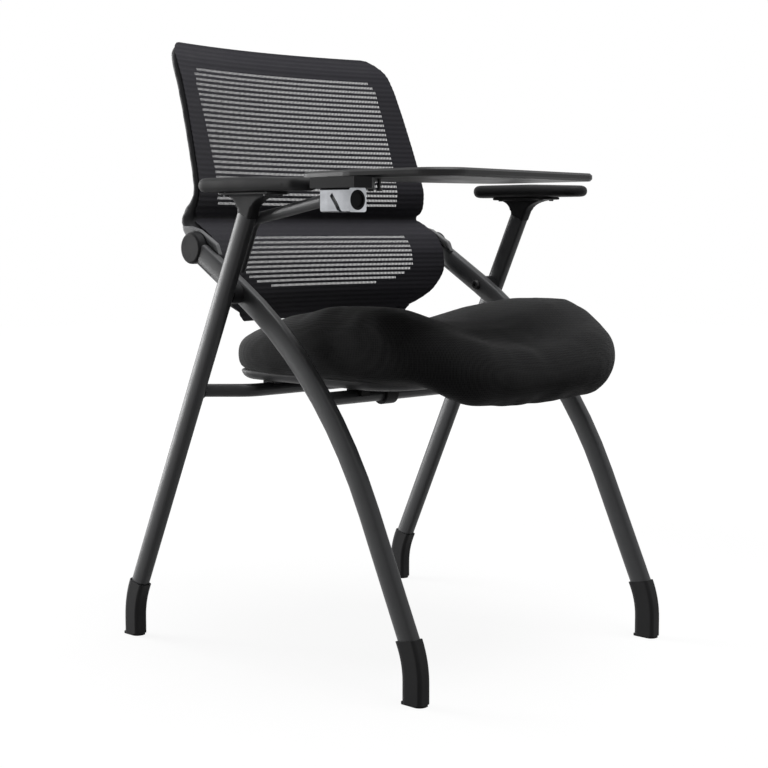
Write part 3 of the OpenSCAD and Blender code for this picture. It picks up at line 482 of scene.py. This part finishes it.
SEAT_FABRIC = Finish("seat_mesh_cloth", (0.040, 0.040, 0.041), 0.88, sheen=0.10, gloss=0.10,
                     pattern=Pattern.CELLS, pitch=0.0030, pitch_depth=0.0006, pitch_shade=0.75,
                     grain_size=0.0006)

NODE_FINISHES: dict[Finish, tuple[str, ...]] = {
    GRAPHITE: ("front_leg_right", "front_leg_left", "front_cross_tube", "rear_leg_right", "rear_leg_left",
               "rear_cross_tube", "tablet_tube"),
    SATIN_BLACK: ("arm_bracket_right", "arm_bracket_left", "pivot_spacers", "pivot_bushes",
                  "block_plug", "tablet_holder", "seat_clamps", "seat_hooks", "seat_saddles"),
    HUB_BLACK: ("end_hubs",),
    FRAME_GREY: ("back_frame",),
    PAD_BLACK: ("arm_pad_right", "arm_pad_left"),
    BRACKET_GREY: ("back_brackets",),
    BOOT_GREY: ("front_boots", "rear_boots"),
    RUBBER: ("front_glides", "rear_glides"),
    STEEL: ("pivot_inserts", "guide_pin", "seat_screws"),
    DARK_STEEL: ("pivot_bolts", "arm_screws", "tablet_screws"),
    CHROME: ("swivel_block",),
    PAN_GREY: ("seat_pan",),
    BOARD_BLACK: ("tablet_board",),
    NYLON: ("swivel_bush",),
    NET_FABRIC: ("back_mesh", "lumbar_mesh"),
    SEAT_FABRIC: ("seat_cushion",),
}


@dataclass
class Dresser:
    """Keeps one material for each finish and puts it on pieces."""

    made: dict[str, bpy.types.Material] = field(default_factory=dict)

    def material(self, finish: Finish) -> bpy.types.Material:
        """Give the material of a finish, made on first use.

        Args:
            finish: The finish wanted.

        Returns:
            Its material.
        """
        if finish.name not in self.made:
            self.made[finish.name] = finish.build()
        return self.made[finish.name]

    def dress(self, piece: Piece, finish: Finish) -> None:
        """Put one finish on a whole piece.

        Args:
            piece: The object to dress.
            finish: The finish it gets.
        """
        material = self.material(finish)
        if not piece.material_slots:
            piece.data.materials.append(material)
        for slot in piece.material_slots:
            slot.material = material

    def mount(self, piece: Piece, finish: Finish, body: str, node: str, slot: str) -> None:
        """Dress a new piece, hang it on its body and let it stand for its node.

        Args:
            piece: The object to mount.
            finish: The finish it gets.
            body: The body it rides on.
            node: The node it replaces.
            slot: Name of a material slot; not used.
        """
        self.dress(piece, finish)
        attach(piece, body)
        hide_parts(node)
        LOG.info("built %s with %d faces", piece.name, len(piece.data.polygons))

    def dress_nodes(self) -> None:
        """Put the finishes on the nodes that came with the frame."""
        for finish, names in NODE_FINISHES.items():
            for name in names:
                self.dress(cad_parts[name], finish)
                LOG.info("node %s wears %s", name, finish.name)


@dataclass
class BackShape:
    """The curved surface that the back follows."""

    hollow: float = 0.038
    low_z: float = 0.486
    waist_z: float = 0.631
    top_z: float = 0.893
    low_half: float = 0.234
    top_half: float = 0.213
    lumbar_half: float = 0.231
    lumbar_y: float = 0.1425
    waist_y: float = 0.2045
    rim: float = 0.019
    ease_reach: float = 0.004
    slope_step: float = 0.002
    lumbar_line: tuple[tuple[float, float], ...] = (
        (0.0, 0.012), (0.24, 0.002), (0.45, 0.0), (0.627, 0.003), (0.761, 0.016), (0.845, 0.038))
    waist_line: tuple[tuple[float, float], ...] = ((0.915, -0.005), (1.0, 0.0))
    upper_line: tuple[tuple[float, float], ...] = (
        (0.045, -0.005), (0.09, -0.012), (0.16, -0.015), (0.27, -0.008), (0.423, 0.004), (0.611, 0.020),
        (0.777, 0.036), (0.89, 0.051), (1.0, 0.076))

    def side(self) -> list[tuple[float, float]]:
        """List the heights and places of the sides' line."""
        lower = self.waist_z - self.low_z
        upper = self.top_z - self.waist_z
        return ([(self.low_z + lower * share, self.lumbar_y + y) for share, y in self.lumbar_line]
                + [(self.low_z + lower * share, self.waist_y + y) for share, y in self.waist_line]
                + [(self.waist_z + upper * share, self.waist_y + y) for share, y in self.upper_line])

    def side_y(self, z: float) -> float:
        """Place of the sides at a height, with the line's corners eased.

        Args:
            z: The height.

        Returns:
            The place.
        """
        shares = (-1.0, -0.5, 0.0, 0.5, 1.0)
        return sum(self.line_y(z + self.ease_reach * share) for share in shares) / len(shares)

    def line_y(self, z: float) -> float:
        """Place of the sides' line at a height.

        Args:
            z: The height.

        Returns:
            The place, on the straight runs between the listed points.
        """
        points = self.side()
        if z <= points[0][0]:
            return points[0][1]
        for (z0, y0), (z1, y1) in zip(points, points[1:]):
            if z <= z1:
                return y0 + (y1 - y0) * (z - z0) / (z1 - z0)
        return points[-1][1]

    def half(self, z: float) -> float:
        """Half width of the frame's middle line at a height.

        Args:
            z: The height.

        Returns:
            The half width.
        """
        if z < self.waist_z:
            return self.lumbar_half
        share = (z - self.waist_z) / (self.top_z - self.waist_z)
        return self.low_half + (self.top_half - self.low_half) * share

    def point(self, x: float, z: float, off: float) -> Vector:
        """Point in front of the back's surface.

        Args:
            x: Place across the chair.
            z: The height.
            off: Distance in front of the surface.

        Returns:
            The point.
        """
        step = self.slope_step
        y = self.side_y(z) + self.hollow * (1.0 - (x / self.lumbar_half) ** 2)
        rise = (self.side_y(z + step) - self.side_y(z - step)) / (2.0 * step)
        normal = Vector((-2.0 * self.hollow * x / self.lumbar_half ** 2, -1.0, rise)).normalized()
        return Vector((x, y, z)) + normal * off

    def level(self, height: float, off: float) -> float:
        """Find the height on the surface whose point in front lies at a wanted height.

        Args:
            height: The height wanted.
            off: Distance in front of the surface.

        Returns:
            The height on the surface.
        """
        low, high = height - 2.0 * off, height + 2.0 * off
        for _ in range(24):
            middle = (low + high) / 2.0
            if self.point(0.0, middle, off).z < height:
                low = middle
            else:
                high = middle
        return (low + high) / 2.0


@dataclass
class NetPanel:
    """One woven panel: ribs all over, and see-through rows of threads inside a closed border."""

    name: str
    node: str
    low: float
    high: float
    low_border: float
    high_border: float
    rows: int
    low_corner: tuple[float, float]
    high_corner: tuple[float, float]
    field_half: float
    field_low_corner: tuple[float, float]
    field_high_corner: tuple[float, float]
    columns: int = 136
    side_lines: int = 5
    open_share: float = 0.47
    thread_share: float = 0.58
    rib: float = 0.0007
    thickness: float = 0.0004
    off: float = 0.0104
    hem_lines: tuple[float, ...] = (0.0003, 0.0008, 0.0015)

    def edge(self, shape: BackShape, z: float) -> float:
        """Half width of the panel at a height, with its rounded corners.

        Args:
            shape: The back's surface.
            z: The height.

        Returns:
            The half width.
        """
        return (shape.half(z) + shape.rim / 2.0 - corner_in(z, self.high, self.high_corner)
                - corner_in(z, self.low, self.low_corner))

    def lines(self) -> list[tuple[float, float, bool]]:
        """List the grid's level lines from the bottom to the top.

        Returns:
            For each line its height, how far it stands proud from 0 to 1, and whether an open row
            starts at it.
        """
        low = self.low + self.low_border
        high = self.high - self.high_border
        pitch = (high - low) / self.rows
        found: list[tuple[float, float, bool]] = []
        for start, end in ((self.low, low), (low, high), (high, self.high)):
            count = max(1, round((end - start) / pitch))
            step = (end - start) / count
            for k in range(count):
                z = start + step * k
                found.append((z, 0.0, start == low))
                if z == self.low:
                    found += [(z + inch, 0.0, False) for inch in self.hem_lines]
                found.append((z + step * self.open_share, 0.2, False))
                found.append((z + step * (1.0 + self.open_share) / 2.0, 1.0, False))
        found += [(self.high - inch, 0.0, False) for inch in reversed(self.hem_lines)]
        found.append((self.high, 0.0, False))
        return found

    def upright(self, shape: BackShape, column: int, z: float) -> float:
        """Place across the chair of an upright grid line at a height.

        Args:
            shape: The back's surface.
            column: Number of the line.
            z: The height.

        Returns:
            The place.
        """
        edge = self.edge(shape, z)
        inner = 2 * self.columns
        k = column - self.side_lines
        if k < 0 or k > inner:
            share = (-k if k < 0 else k - inner) / self.side_lines
            x = self.field_half + (edge - self.field_half) * share
            return math.copysign(max(x, edge) if edge < self.field_half else x, k - 1)
        pitch = 2.0 * self.field_half / self.columns
        x = -self.field_half + pitch * (k // 2 + (k % 2) * (1.0 - self.thread_share))
        return max(-edge, min(edge, x))

    def build(self, shape: BackShape) -> Piece:
        """Model the panel.

        Args:
            shape: The back's surface.

        Returns:
            The finished object.
        """
        rows = self.lines()
        low, high = (shape.point(0.0, z, self.off).z for z in (self.low, self.high))
        spread = (high - low) / (self.high - self.low)
        surface = [shape.level(low + (z - self.low) * spread, self.off) for z, _, _ in rows]

        def place(column: int, row: int) -> Vector:
            """Give a grid point's place."""
            z = surface[row]
            return shape.point(self.upright(shape, column, z), z, self.off + self.rib * rows[row][1])

        def is_open(column: int, row: int) -> bool:
            """Tell whether a face is a gap between threads."""
            k = column - self.side_lines
            if not rows[row][2] or k < 0 or k >= 2 * self.columns or k % 2:
                return False
            z = (rows[row][0] + rows[row + 1][0]) / 2.0
            spot = (surface[row] + surface[row + 1]) / 2.0
            reach = (self.field_half
                     - corner_in(z, self.high - self.high_border, self.field_high_corner)
                     - corner_in(z, self.low + self.low_border, self.field_low_corner))
            return max(abs(self.upright(shape, number, spot)) for number in (column, column + 1)) <= reach

        across = 2 * (self.columns + self.side_lines)
        piece = wrap_grid(self.name, across, len(rows) - 1, place, is_open)
        wall = piece.modifiers.new("wall", "SOLIDIFY")
        wall.thickness = self.thickness
        wall.offset = 0.0
        apply_modifiers(piece)
        smooth(piece)
        return piece


@dataclass
class Back:
    """The back: a moulded frame with two net panels in front of it."""

    shape: BackShape = field(default_factory=BackShape)
    frame_voxel: float = 0.0024
    bracket_voxel: float = 0.0015
    ear_low: float = 0.582
    ear_high: float = 0.690
    ear_steps: int = 24
    ear_sides: int = 16
    ear_width: float = 0.019
    ear_depth: float = 0.0115
    ear_swell: float = 0.0135
    ear_swell_reach: float = 0.024
    ear_drop: float = 0.005
    ear_inset: float = 0.0025
    ear_off: float = 0.0092
    panels: tuple[NetPanel, ...] = (
        NetPanel("upper_net", "back_mesh", 0.637, 0.890, 0.017, 0.034, 27, (0.014, 0.014), (0.036, 0.036),
                 0.193, (0.004, 0.004), (0.028, 0.022)),
        NetPanel("lumbar_net", "lumbar_mesh", 0.4768, 0.627, 0.0492, 0.023, 11, (0.150, 0.082),
                 (0.014, 0.014), 0.184, (0.105, 0.034), (0.012, 0.018)),
    )

    def build(self, dresser: Dresser) -> None:
        """Model and dress the frame and the panels.

        Args:
            dresser: Gives the materials.
        """
        skin = copy_node("back_frame")
        ears = [self.ear(side) for side, _ in SIDES]
        activate(skin)
        for ear in ears:
            ear.select_set(True)
        bpy.ops.object.join()
        reskin(skin, self.frame_voxel)
        relax(skin, 6)
        settle(skin, "back_frame_skin")
        smooth(skin)
        dresser.mount(skin, FRAME_GREY, "front_frame", "back_frame", "hub_plastic")
        for panel in self.panels:
            piece = panel.build(self.shape)
            dresser.mount(piece, NET_FABRIC, "front_frame", panel.node, "mesh_fabric")
        plates = skin_node("back_brackets", "bracket_plates", self.bracket_voxel, 10)
        dresser.mount(plates, BRACKET_GREY, "front_frame", "back_brackets", "bracket_paint")

    def ear(self, side: float) -> Piece:
        """Model the bar that carries the frame's side through the waist.

        Args:
            side: -1 for the sitter's right and 1 for the left.

        Returns:
            A closed bar, to be joined to the frame.
        """
        shape = self.shape

        def place(column: int, row: int) -> Vector:
            """Give a grid point's place; the first and last rows close the ends."""
            step = max(0, min(self.ear_steps, row - 1))
            z = self.ear_low + (self.ear_high - self.ear_low) * step / self.ear_steps
            x = side * (shape.half(max(z, shape.waist_z)) - self.ear_inset)
            away = abs(z + self.ear_drop - shape.waist_z) / self.ear_swell_reach
            depth = self.ear_depth + self.ear_swell * ease(1.0 - away)
            middle = shape.point(x, z, self.ear_off - depth / 2.0)
            if row in (0, self.ear_steps + 2):
                return middle
            out = (shape.point(x, z, 1.0) - shape.point(x, z, 0.0)).normalized()
            run = (shape.point(x, z + shape.slope_step, 0.0)
                   - shape.point(x, z - shape.slope_step, 0.0)).normalized()
            wide = run.cross(out).normalized()
            turn = 2.0 * math.pi * (column % self.ear_sides) / self.ear_sides
            blunt = [math.copysign(abs(v) ** 0.5, v) for v in (math.cos(turn), math.sin(turn))]
            return middle + wide * blunt[0] * self.ear_width / 2.0 + out * blunt[1] * depth / 2.0

        return wrap_grid("ear", self.ear_sides, self.ear_steps + 2, place)


@dataclass
class LegTube:
    """One bent leg tube with a rounded rear and a flatter front face."""

    name: str
    node: str
    body: str
    x: float
    depth: float
    path: tuple[tuple[float, float], ...]
    radii: tuple[float, ...]
    width: float = 0.018
    bend_step: float = 4.0
    straight: float = 0.001
    section: tuple[tuple[float, float], ...] = (
        (-1.0, 0.0), (-0.975, 0.22), (-0.91, 0.42), (-0.80, 0.61), (-0.64, 0.77), (-0.45, 0.89),
        (-0.22, 0.97), (0.05, 1.0), (0.30, 0.985), (0.52, 0.94), (0.70, 0.88), (0.83, 0.81),
        (0.915, 0.71), (0.965, 0.56), (0.99, 0.36), (1.0, 0.0))

    def stations(self) -> list[tuple[Vector, Vector]]:
        """Walk along the rounded path.

        Returns:
            Places and directions, from the tube's upper end to its lower end.
        """
        points = [Vector((0.0, y, z)) for y, z in self.path]
        runs = [(b - a).normalized() for a, b in zip(points, points[1:])]
        found = [(points[0], runs[0])]
        for k in range(1, len(points) - 1):
            a, b = runs[k - 1], runs[k]
            turn = a.angle(b)
            if turn < self.straight:
                continue
            cut = self.radii[k] * math.tan(turn / 2.0)
            middle = points[k] + (b - a).normalized() * self.radii[k] / math.cos(turn / 2.0)
            start = points[k] - a * cut - middle
            steps = max(4, math.ceil(math.degrees(turn) / self.bend_step))
            axis = a.cross(b).normalized()
            for n in range(steps + 1):
                spin = Matrix.Rotation(turn * n / steps, 3, axis)
                found.append((middle + spin @ start, spin @ a))
        found.append((points[-1], runs[-1]))
        return found

    def build(self, dresser: Dresser) -> None:
        """Model and dress the tube.

        Args:
            dresser: Gives the material.
        """
        stations = self.stations()
        outline = [(w, x) for w, x in self.section] + [(w, -x) for w, x in self.section[-2:0:-1]]
        count = len(outline)

        def place(column: int, row: int) -> Vector:
            """Give a grid point's place; the first and last rows close the ends."""
            spot, run = stations[max(0, min(len(stations) - 1, row - 1))]
            ahead = Vector((1.0, 0.0, 0.0)).cross(run)
            if ahead.y > 0:
                ahead = -ahead
            deep, wide = outline[column % count]
            if row in (0, len(stations) + 1):
                deep = wide = 0.0
            return (Vector((self.x + wide * self.width / 2.0, 0.0, 0.0)) + spot
                    + ahead * deep * self.depth / 2.0)

        piece = wrap_grid(self.name, count, len(stations) + 1, place)
        smooth(piece, 40.0)
        dresser.mount(piece, GRAPHITE, self.body, self.node, "tube_paint")


@dataclass
class Legs:
    """The four leg tubes, along the same paths as their solids."""

    hub_reach: float = 0.018
    front_x: float = 0.252
    rear_x: float = 0.287
    front_depth: float = 0.0335
    rear_depth: float = 0.031
    front_top: tuple[float, float] = (0.169, 0.5865)
    elbow: tuple[float, float] = (-0.106, 0.4225)
    elbow_r: float = 0.650
    slope: float = 65.0
    front_foot_y: float = -0.277
    pivot_y: float = 0.0635
    lean: float = 25.0
    rear_foot_y: float = 0.2825
    rear_top_z: float = 0.634
    foot_bend_r: float = 0.120
    tube_low_z: float = 0.008

    def build(self, dresser: Dresser) -> None:
        """Model and dress the tubes.

        Args:
            dresser: Gives the material.
        """
        top, elbow = Vector(self.front_top), Vector(self.elbow)
        down = (elbow - top).normalized()
        start = top + down * self.hub_reach
        fall = math.tan(math.radians(self.slope))
        ankle_z = self.elbow[1] - (self.elbow[0] - self.front_foot_y) * fall
        front = (tuple(start), self.elbow, (self.front_foot_y, ankle_z), (self.front_foot_y, self.tube_low_z))
        pivot_z = elbow.y + (top.y - elbow.y) * (self.pivot_y - elbow.x) / (top.x - elbow.x)
        rise = 1.0 / math.tan(math.radians(self.lean))
        rear = ((self.pivot_y - (self.rear_top_z - pivot_z) / rise, self.rear_top_z),
                (self.rear_foot_y, pivot_z - (self.rear_foot_y - self.pivot_y) * rise),
                (self.rear_foot_y, self.tube_low_z))
        front_bends = (0.0, self.elbow_r, self.foot_bend_r, 0.0)
        rear_bends = (0.0, self.foot_bend_r, 0.0)
        for side, word in SIDES:
            for end, x, depth, path, bends in (("front", self.front_x, self.front_depth, front, front_bends),
                                               ("rear", self.rear_x, self.rear_depth, rear, rear_bends)):
                LegTube(f"{end}_tube_{word}", f"{end}_leg_{word}", f"{end}_frame", side * x, depth, path,
                        bends).build(dresser)


@dataclass
class Welds:
    """Weld beads where the cross tubes meet the legs."""

    tube_r: float = 0.0095
    bead_r: float = 0.0017
    proud: float = 0.4
    ripples: int = 26
    ripple: float = 0.0004
    places: tuple[tuple[str, str, tuple[float, float, float], float], ...] = (
        ("front_bead", "front_frame", (0.2432, -0.09926, 0.3845), 1.0),
        ("rear_bead", "rear_frame", (0.2782, 0.12905, 0.383), 1.36))

    def build(self, dresser: Dresser) -> None:
        """Model and dress the beads of both sides.

        Args:
            dresser: Gives the material.
        """
        for name, body, (x, y, z), stretch in self.places:
            for side, word in SIDES:
                deselect()
                bpy.ops.mesh.primitive_torus_add(
                    rotation=(0.0, math.radians(90.0), 0.0), major_segments=4 * self.ripples,
                    minor_segments=10, major_radius=self.tube_r + self.bead_r * self.proud,
                    minor_radius=self.bead_r)
                bead = settle(bpy.context.object, f"{name}_{word}")
                for vertex in bead.data.vertices:
                    turn = math.atan2(vertex.co.z, vertex.co.y)
                    grow = 1.0 + self.ripple / self.tube_r * math.sin(self.ripples * turn)
                    vertex.co = Vector((vertex.co.x * grow + side * x, vertex.co.y * grow * stretch + y,
                                        vertex.co.z * grow + z))
                smooth(bead)
                dresser.dress(bead, GRAPHITE)
                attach(bead, body)
                LOG.info("built %s", bead.name)


@dataclass
class Arms:
    """The arm pads and the cast brackets below them."""

    pad_voxel: float = 0.0022
    bracket_voxel: float = 0.0016

    def build(self, dresser: Dresser) -> None:
        """Model and dress the pads and brackets.

        Args:
            dresser: Gives the materials.
        """
        for _, side in SIDES:
            for node, name, voxel, rounds, finish, slot in (
                    ("arm_pad", "pad_skin", self.pad_voxel, 6, PAD_BLACK, "black_plastic"),
                    ("arm_bracket", "arm_casting", self.bracket_voxel, 4, SATIN_BLACK, "hub_plastic")):
                piece = skin_node(f"{node}_{side}", f"{name}_{side}", voxel, rounds)
                dresser.mount(piece, finish, "rear_frame", f"{node}_{side}", slot)


@dataclass
class Pan:
    """The moulded pan under the cushion, rounded in towards its lower edge."""

    node: str = "seat_pan"
    voxel: float = 0.003
    high_z: float = 0.410
    low_z: float = 0.3955
    inset: float = 0.012
    half: float = 0.212
    rear: float = 0.152
    front: float = -0.190

    def build(self, dresser: Dresser) -> None:
        """Model and dress the pan.

        Args:
            dresser: Gives the material.
        """
        piece = copy_node(self.node)
        reskin(piece, self.voxel)
        middle = Vector((0.0, (self.rear + self.front) / 2.0, 0.0))
        long = (self.rear - self.front) / 2.0
        for vertex in piece.data.vertices:
            drop = max(0.0, min(1.0, (self.high_z - vertex.co.z) / (self.high_z - self.low_z)))
            pull = self.inset * fall_in(drop)
            vertex.co.x -= pull * vertex.co.x / self.half
            vertex.co.y -= pull * (vertex.co.y - middle.y) / long
        relax(piece, 3)
        settle(piece, "pan_skin")
        smooth(piece)
        dresser.mount(piece, PAN_GREY, "seat", self.node, "pan_plastic")


@dataclass
class Cushion:
    """The seat cushion: a crowned, padded form with bolsters and a rolled front."""

    node: str = "seat_cushion"
    voxel: float = 0.006
    grow: float = 0.0025
    half: float = 0.232
    front_y: float = -0.2975
    rear_y: float = 0.1725
    mid_z: float = 0.467
    split_z: float = 0.410
    rim_share: float = 0.12
    rim_power_high: float = 0.55
    rim_power_low: float = 0.35
    rim_turn: float = 0.06
    rim_start: tuple[float, float] = (0.80, 0.10)
    front_start: tuple[float, float] = (0.030, 0.080)
    bolster_rise: float = 0.034
    front_rise: float = 0.004
    front_fall: float = 0.028
    rear_fall: float = 0.030
    pressure: float = 4.0
    cap: float = 0.006
    last_frame: int = 20

    def build(self, dresser: Dresser) -> None:
        """Model, puff and dress the cushion.

        Args:
            dresser: Gives the material.
        """
        piece = copy_node(self.node)
        activate(piece)
        bpy.ops.object.mode_set(mode="EDIT")
        bpy.ops.mesh.select_all(action="SELECT")
        bpy.ops.transform.shrink_fatten(value=self.grow)
        bpy.ops.object.mode_set(mode="OBJECT")
        reskin(piece, self.voxel)
        self.fill_edge(piece)
        self.puff(piece)
        relax(piece, 12)
        finer = piece.modifiers.new("finer", "SUBSURF")
        finer.levels = 1
        finer.render_levels = 1
        apply_modifiers(piece)
        settle(piece, "cushion_cover")
        activate(piece)
        bpy.ops.object.shade_smooth()
        dresser.mount(piece, SEAT_FABRIC, "seat", self.node, "seat_fabric")

    def crown(self, x: float, y: float) -> float:
        """Height of the cushion's top.

        Args:
            x: Place across the chair.
            y: Place along the chair.

        Returns:
            The height.
        """
        bolster = self.bolster_rise * ease((abs(x) - 0.025) / 0.165)
        bolster *= 1.0 - 0.55 * ease((y + 0.070) / 0.240) - 0.2 * ease((-y - 0.180) / 0.120)
        swell = (self.front_rise * ease((-y - 0.070) / 0.140)
                 - self.front_fall * ease((-y - 0.150) / 0.100))
        return self.mid_z + bolster + swell - self.rear_fall * ease((y + 0.080) / 0.260)

    def fill_edge(self, piece: Piece) -> None:
        """Make the rounded sides squarer, as foam under a stretched cover is.

        Args:
            piece: The remeshed cushion.
        """
        middle_y = (self.front_y + self.rear_y) / 2.0
        half_long = (self.rear_y - self.front_y) / 2.0
        for vertex in piece.data.vertices:
            x, y, z = vertex.co
            along = (y - middle_y) / half_long
            out = (abs(x / self.half) ** 4 + abs(along) ** 4) ** 0.25
            near = ease((out - self.rim_start[0]) / self.rim_start[1])
            near *= ease((y - self.front_y - self.front_start[0]) / self.front_start[1])
            level = (z - self.split_z) / (self.crown(x, y) - self.split_z)
            lean = min(1.0, abs(2.0 * level - 1.0))
            upright = max(self.rim_turn, math.sqrt(1.0 - lean * lean))
            power = self.rim_power_high if level > 0.5 else self.rim_power_low
            push = self.rim_share * self.half * near * (upright ** power - upright)
            vertex.co.x += push * x / self.half
            vertex.co.y += push * along

    def puff(self, piece: Piece) -> None:
        """Let air pressure round the cover, within a cap on how far any point moves.

        Args:
            piece: The remeshed cushion.
        """
        start = [v.co.copy() for v in piece.data.vertices]
        cloth = piece.modifiers.new("cloth", "CLOTH")
        cloth.settings.use_pressure = True
        cloth.settings.uniform_pressure_force = self.pressure
        cloth.settings.effector_weights.gravity = 0.0
        cloth.settings.quality = 4
        cloth.point_cache.frame_start = 1
        cloth.point_cache.frame_end = self.last_frame
        scene = bpy.context.scene
        for number in range(1, self.last_frame + 1):
            scene.frame_set(number)
        apply_modifiers(piece)
        scene.frame_set(1)
        for vertex, origin in zip(piece.data.vertices, start):
            move = vertex.co - origin
            if move.length > self.cap:
                vertex.co = origin + move.normalized() * self.cap


@dataclass
class Studio:
    """Floor, lights, world and camera."""

    lens: float = 75.76
    yaw: float = 44.89
    pitch: float = 5.52
    eye: tuple[float, float, float] = (-1.725, -1.6985, 0.616)
    floor_size: float = 14.0
    ambient: float = 0.045
    floor_color: float = 0.13
    floor_glow: float = 0.90
    glow_reach: tuple[float, float] = (0.9, 2.2)

    def build(self) -> None:
        """Set everything up."""
        self.place_camera()
        self.light_world()
        self.add_lamps()
        self.lay_floor()

    def place_camera(self) -> None:
        """Put the camera at the photograph's viewing angle."""
        data = bpy.data.cameras.new("camera")
        data.lens = self.lens
        data.sensor_width = 36.0
        data.clip_end = 100.0
        camera = bpy.data.objects.new("camera", data)
        camera.location = self.eye
        camera.rotation_euler = (math.radians(90.0 - self.pitch), 0.0, -math.radians(self.yaw))
        bpy.context.scene.collection.objects.link(camera)
        bpy.context.scene.camera = camera

    def light_world(self) -> None:
        """Give a weak surround that looks white to the camera, gloss and glass."""
        world = bpy.data.worlds.new("studio")
        bpy.context.scene.world = world
        world.use_nodes = True
        nodes = world.node_tree.nodes
        links = world.node_tree.links
        strength = nodes.new("ShaderNodeMapRange")
        strength.inputs["To Min"].default_value = self.ambient
        strength.inputs["To Max"].default_value = 1.0
        links.new(self.seen(nodes, links), strength.inputs["Value"])
        back = nodes["Background"]
        back.inputs["Color"].default_value = (1.0, 1.0, 1.0, 1.0)
        links.new(strength.outputs["Result"], back.inputs["Strength"])

    def seen(self, nodes: bpy.types.Nodes, links: bpy.types.NodeLinks) -> Socket:
        """Add a test for rays of the camera, of gloss and through glass.

        Args:
            nodes: The tree's nodes.
            links: The tree's links.

        Returns:
            A socket that is 1 for such rays and 0 for others.
        """
        path = nodes.new("ShaderNodeLightPath")
        total = path.outputs["Is Camera Ray"]
        for name in ("Is Glossy Ray", "Is Transmission Ray"):
            either = nodes.new("ShaderNodeMath")
            either.operation = "MAXIMUM"
            links.new(total, either.inputs[0])
            links.new(path.outputs[name], either.inputs[1])
            total = either.outputs["Value"]
        return total

    def add_lamps(self) -> None:
        """Hang a large soft key behind at the left and a broad lamp overhead."""
        self.lamp("key", (-0.95, 2.72, 0.95), (0.0, 0.0, 0.40), (1.5, 2.0), 84.0)
        self.lamp("top", (0.10, -0.45, 2.88), (0.0, 0.0, 0.45), (1.8, 1.8), 60.0)

    def lamp(self, name: str, place: Sequence[float], target: Sequence[float],
             size: tuple[float, float], power: float) -> None:
        """Add one rectangular area lamp.

        Args:
            name: Its name.
            place: Where it hangs.
            target: The point it faces.
            size: Its width and height.
            power: Its power in watts.
        """
        data = bpy.data.lights.new(name, "AREA")
        data.shape = "RECTANGLE"
        data.size, data.size_y = size
        data.energy = power
        lamp = bpy.data.objects.new(name, data)
        lamp.location = place
        lamp.rotation_euler = (Vector(target) - Vector(place)).to_track_quat("-Z", "Y").to_euler()
        bpy.context.scene.collection.objects.link(lamp)

    def lay_floor(self) -> None:
        """Lay a plain white floor that keeps the chair's soft shadow."""
        deselect()
        bpy.ops.mesh.primitive_plane_add(size=self.floor_size, location=(0.0, 0.0, -0.0005))
        floor = settle(bpy.context.object, "floor")
        material = bpy.data.materials.new("floor_white")
        material.use_nodes = True
        nodes = material.node_tree.nodes
        links = material.node_tree.links
        shader = nodes["Principled BSDF"]
        shader.inputs["Base Color"].default_value = (*[self.floor_color] * 3, 1.0)
        shader.inputs["Roughness"].default_value = 0.9
        shader.inputs["Specular IOR Level"].default_value = 0.0
        place = nodes.new("ShaderNodeTexCoord").outputs["Object"]
        away = nodes.new("ShaderNodeVectorMath")
        away.operation = "LENGTH"
        links.new(place, away.inputs[0])
        level = nodes.new("ShaderNodeMapRange")
        level.interpolation_type = "SMOOTHSTEP"
        level.inputs["From Min"].default_value, level.inputs["From Max"].default_value = self.glow_reach
        level.inputs["To Min"].default_value = self.floor_glow
        level.inputs["To Max"].default_value = 1.0
        links.new(away.outputs["Value"], level.inputs["Value"])
        share = nodes.new("ShaderNodeMath")
        share.operation = "MULTIPLY"
        links.new(self.seen(nodes, links), share.inputs[0])
        links.new(level.outputs["Result"], share.inputs[1])
        glow = nodes.new("ShaderNodeEmission")
        links.new(share.outputs["Value"], glow.inputs["Strength"])
        both = nodes.new("ShaderNodeAddShader")
        links.new(shader.outputs["BSDF"], both.inputs[0])
        links.new(glow.outputs["Emission"], both.inputs[1])
        links.new(both.outputs["Shader"], nodes["Material Output"].inputs["Surface"])
        floor.data.materials.append(material)


def main() -> None:
    """Build the scene in order."""
    logging.basicConfig(level=logging.INFO, format="%(name)s: %(message)s")
    bpy.context.scene.view_settings.view_transform = "Standard"
    Studio().build()
    dresser = Dresser()
    dresser.dress_nodes()
    Legs().build(dresser)
    Welds().build(dresser)
    Back().build(dresser)
    Arms().build(dresser)
    Pan().build(dresser)
    Cushion().build(dresser)


if __name__ == "__main__":
    main()
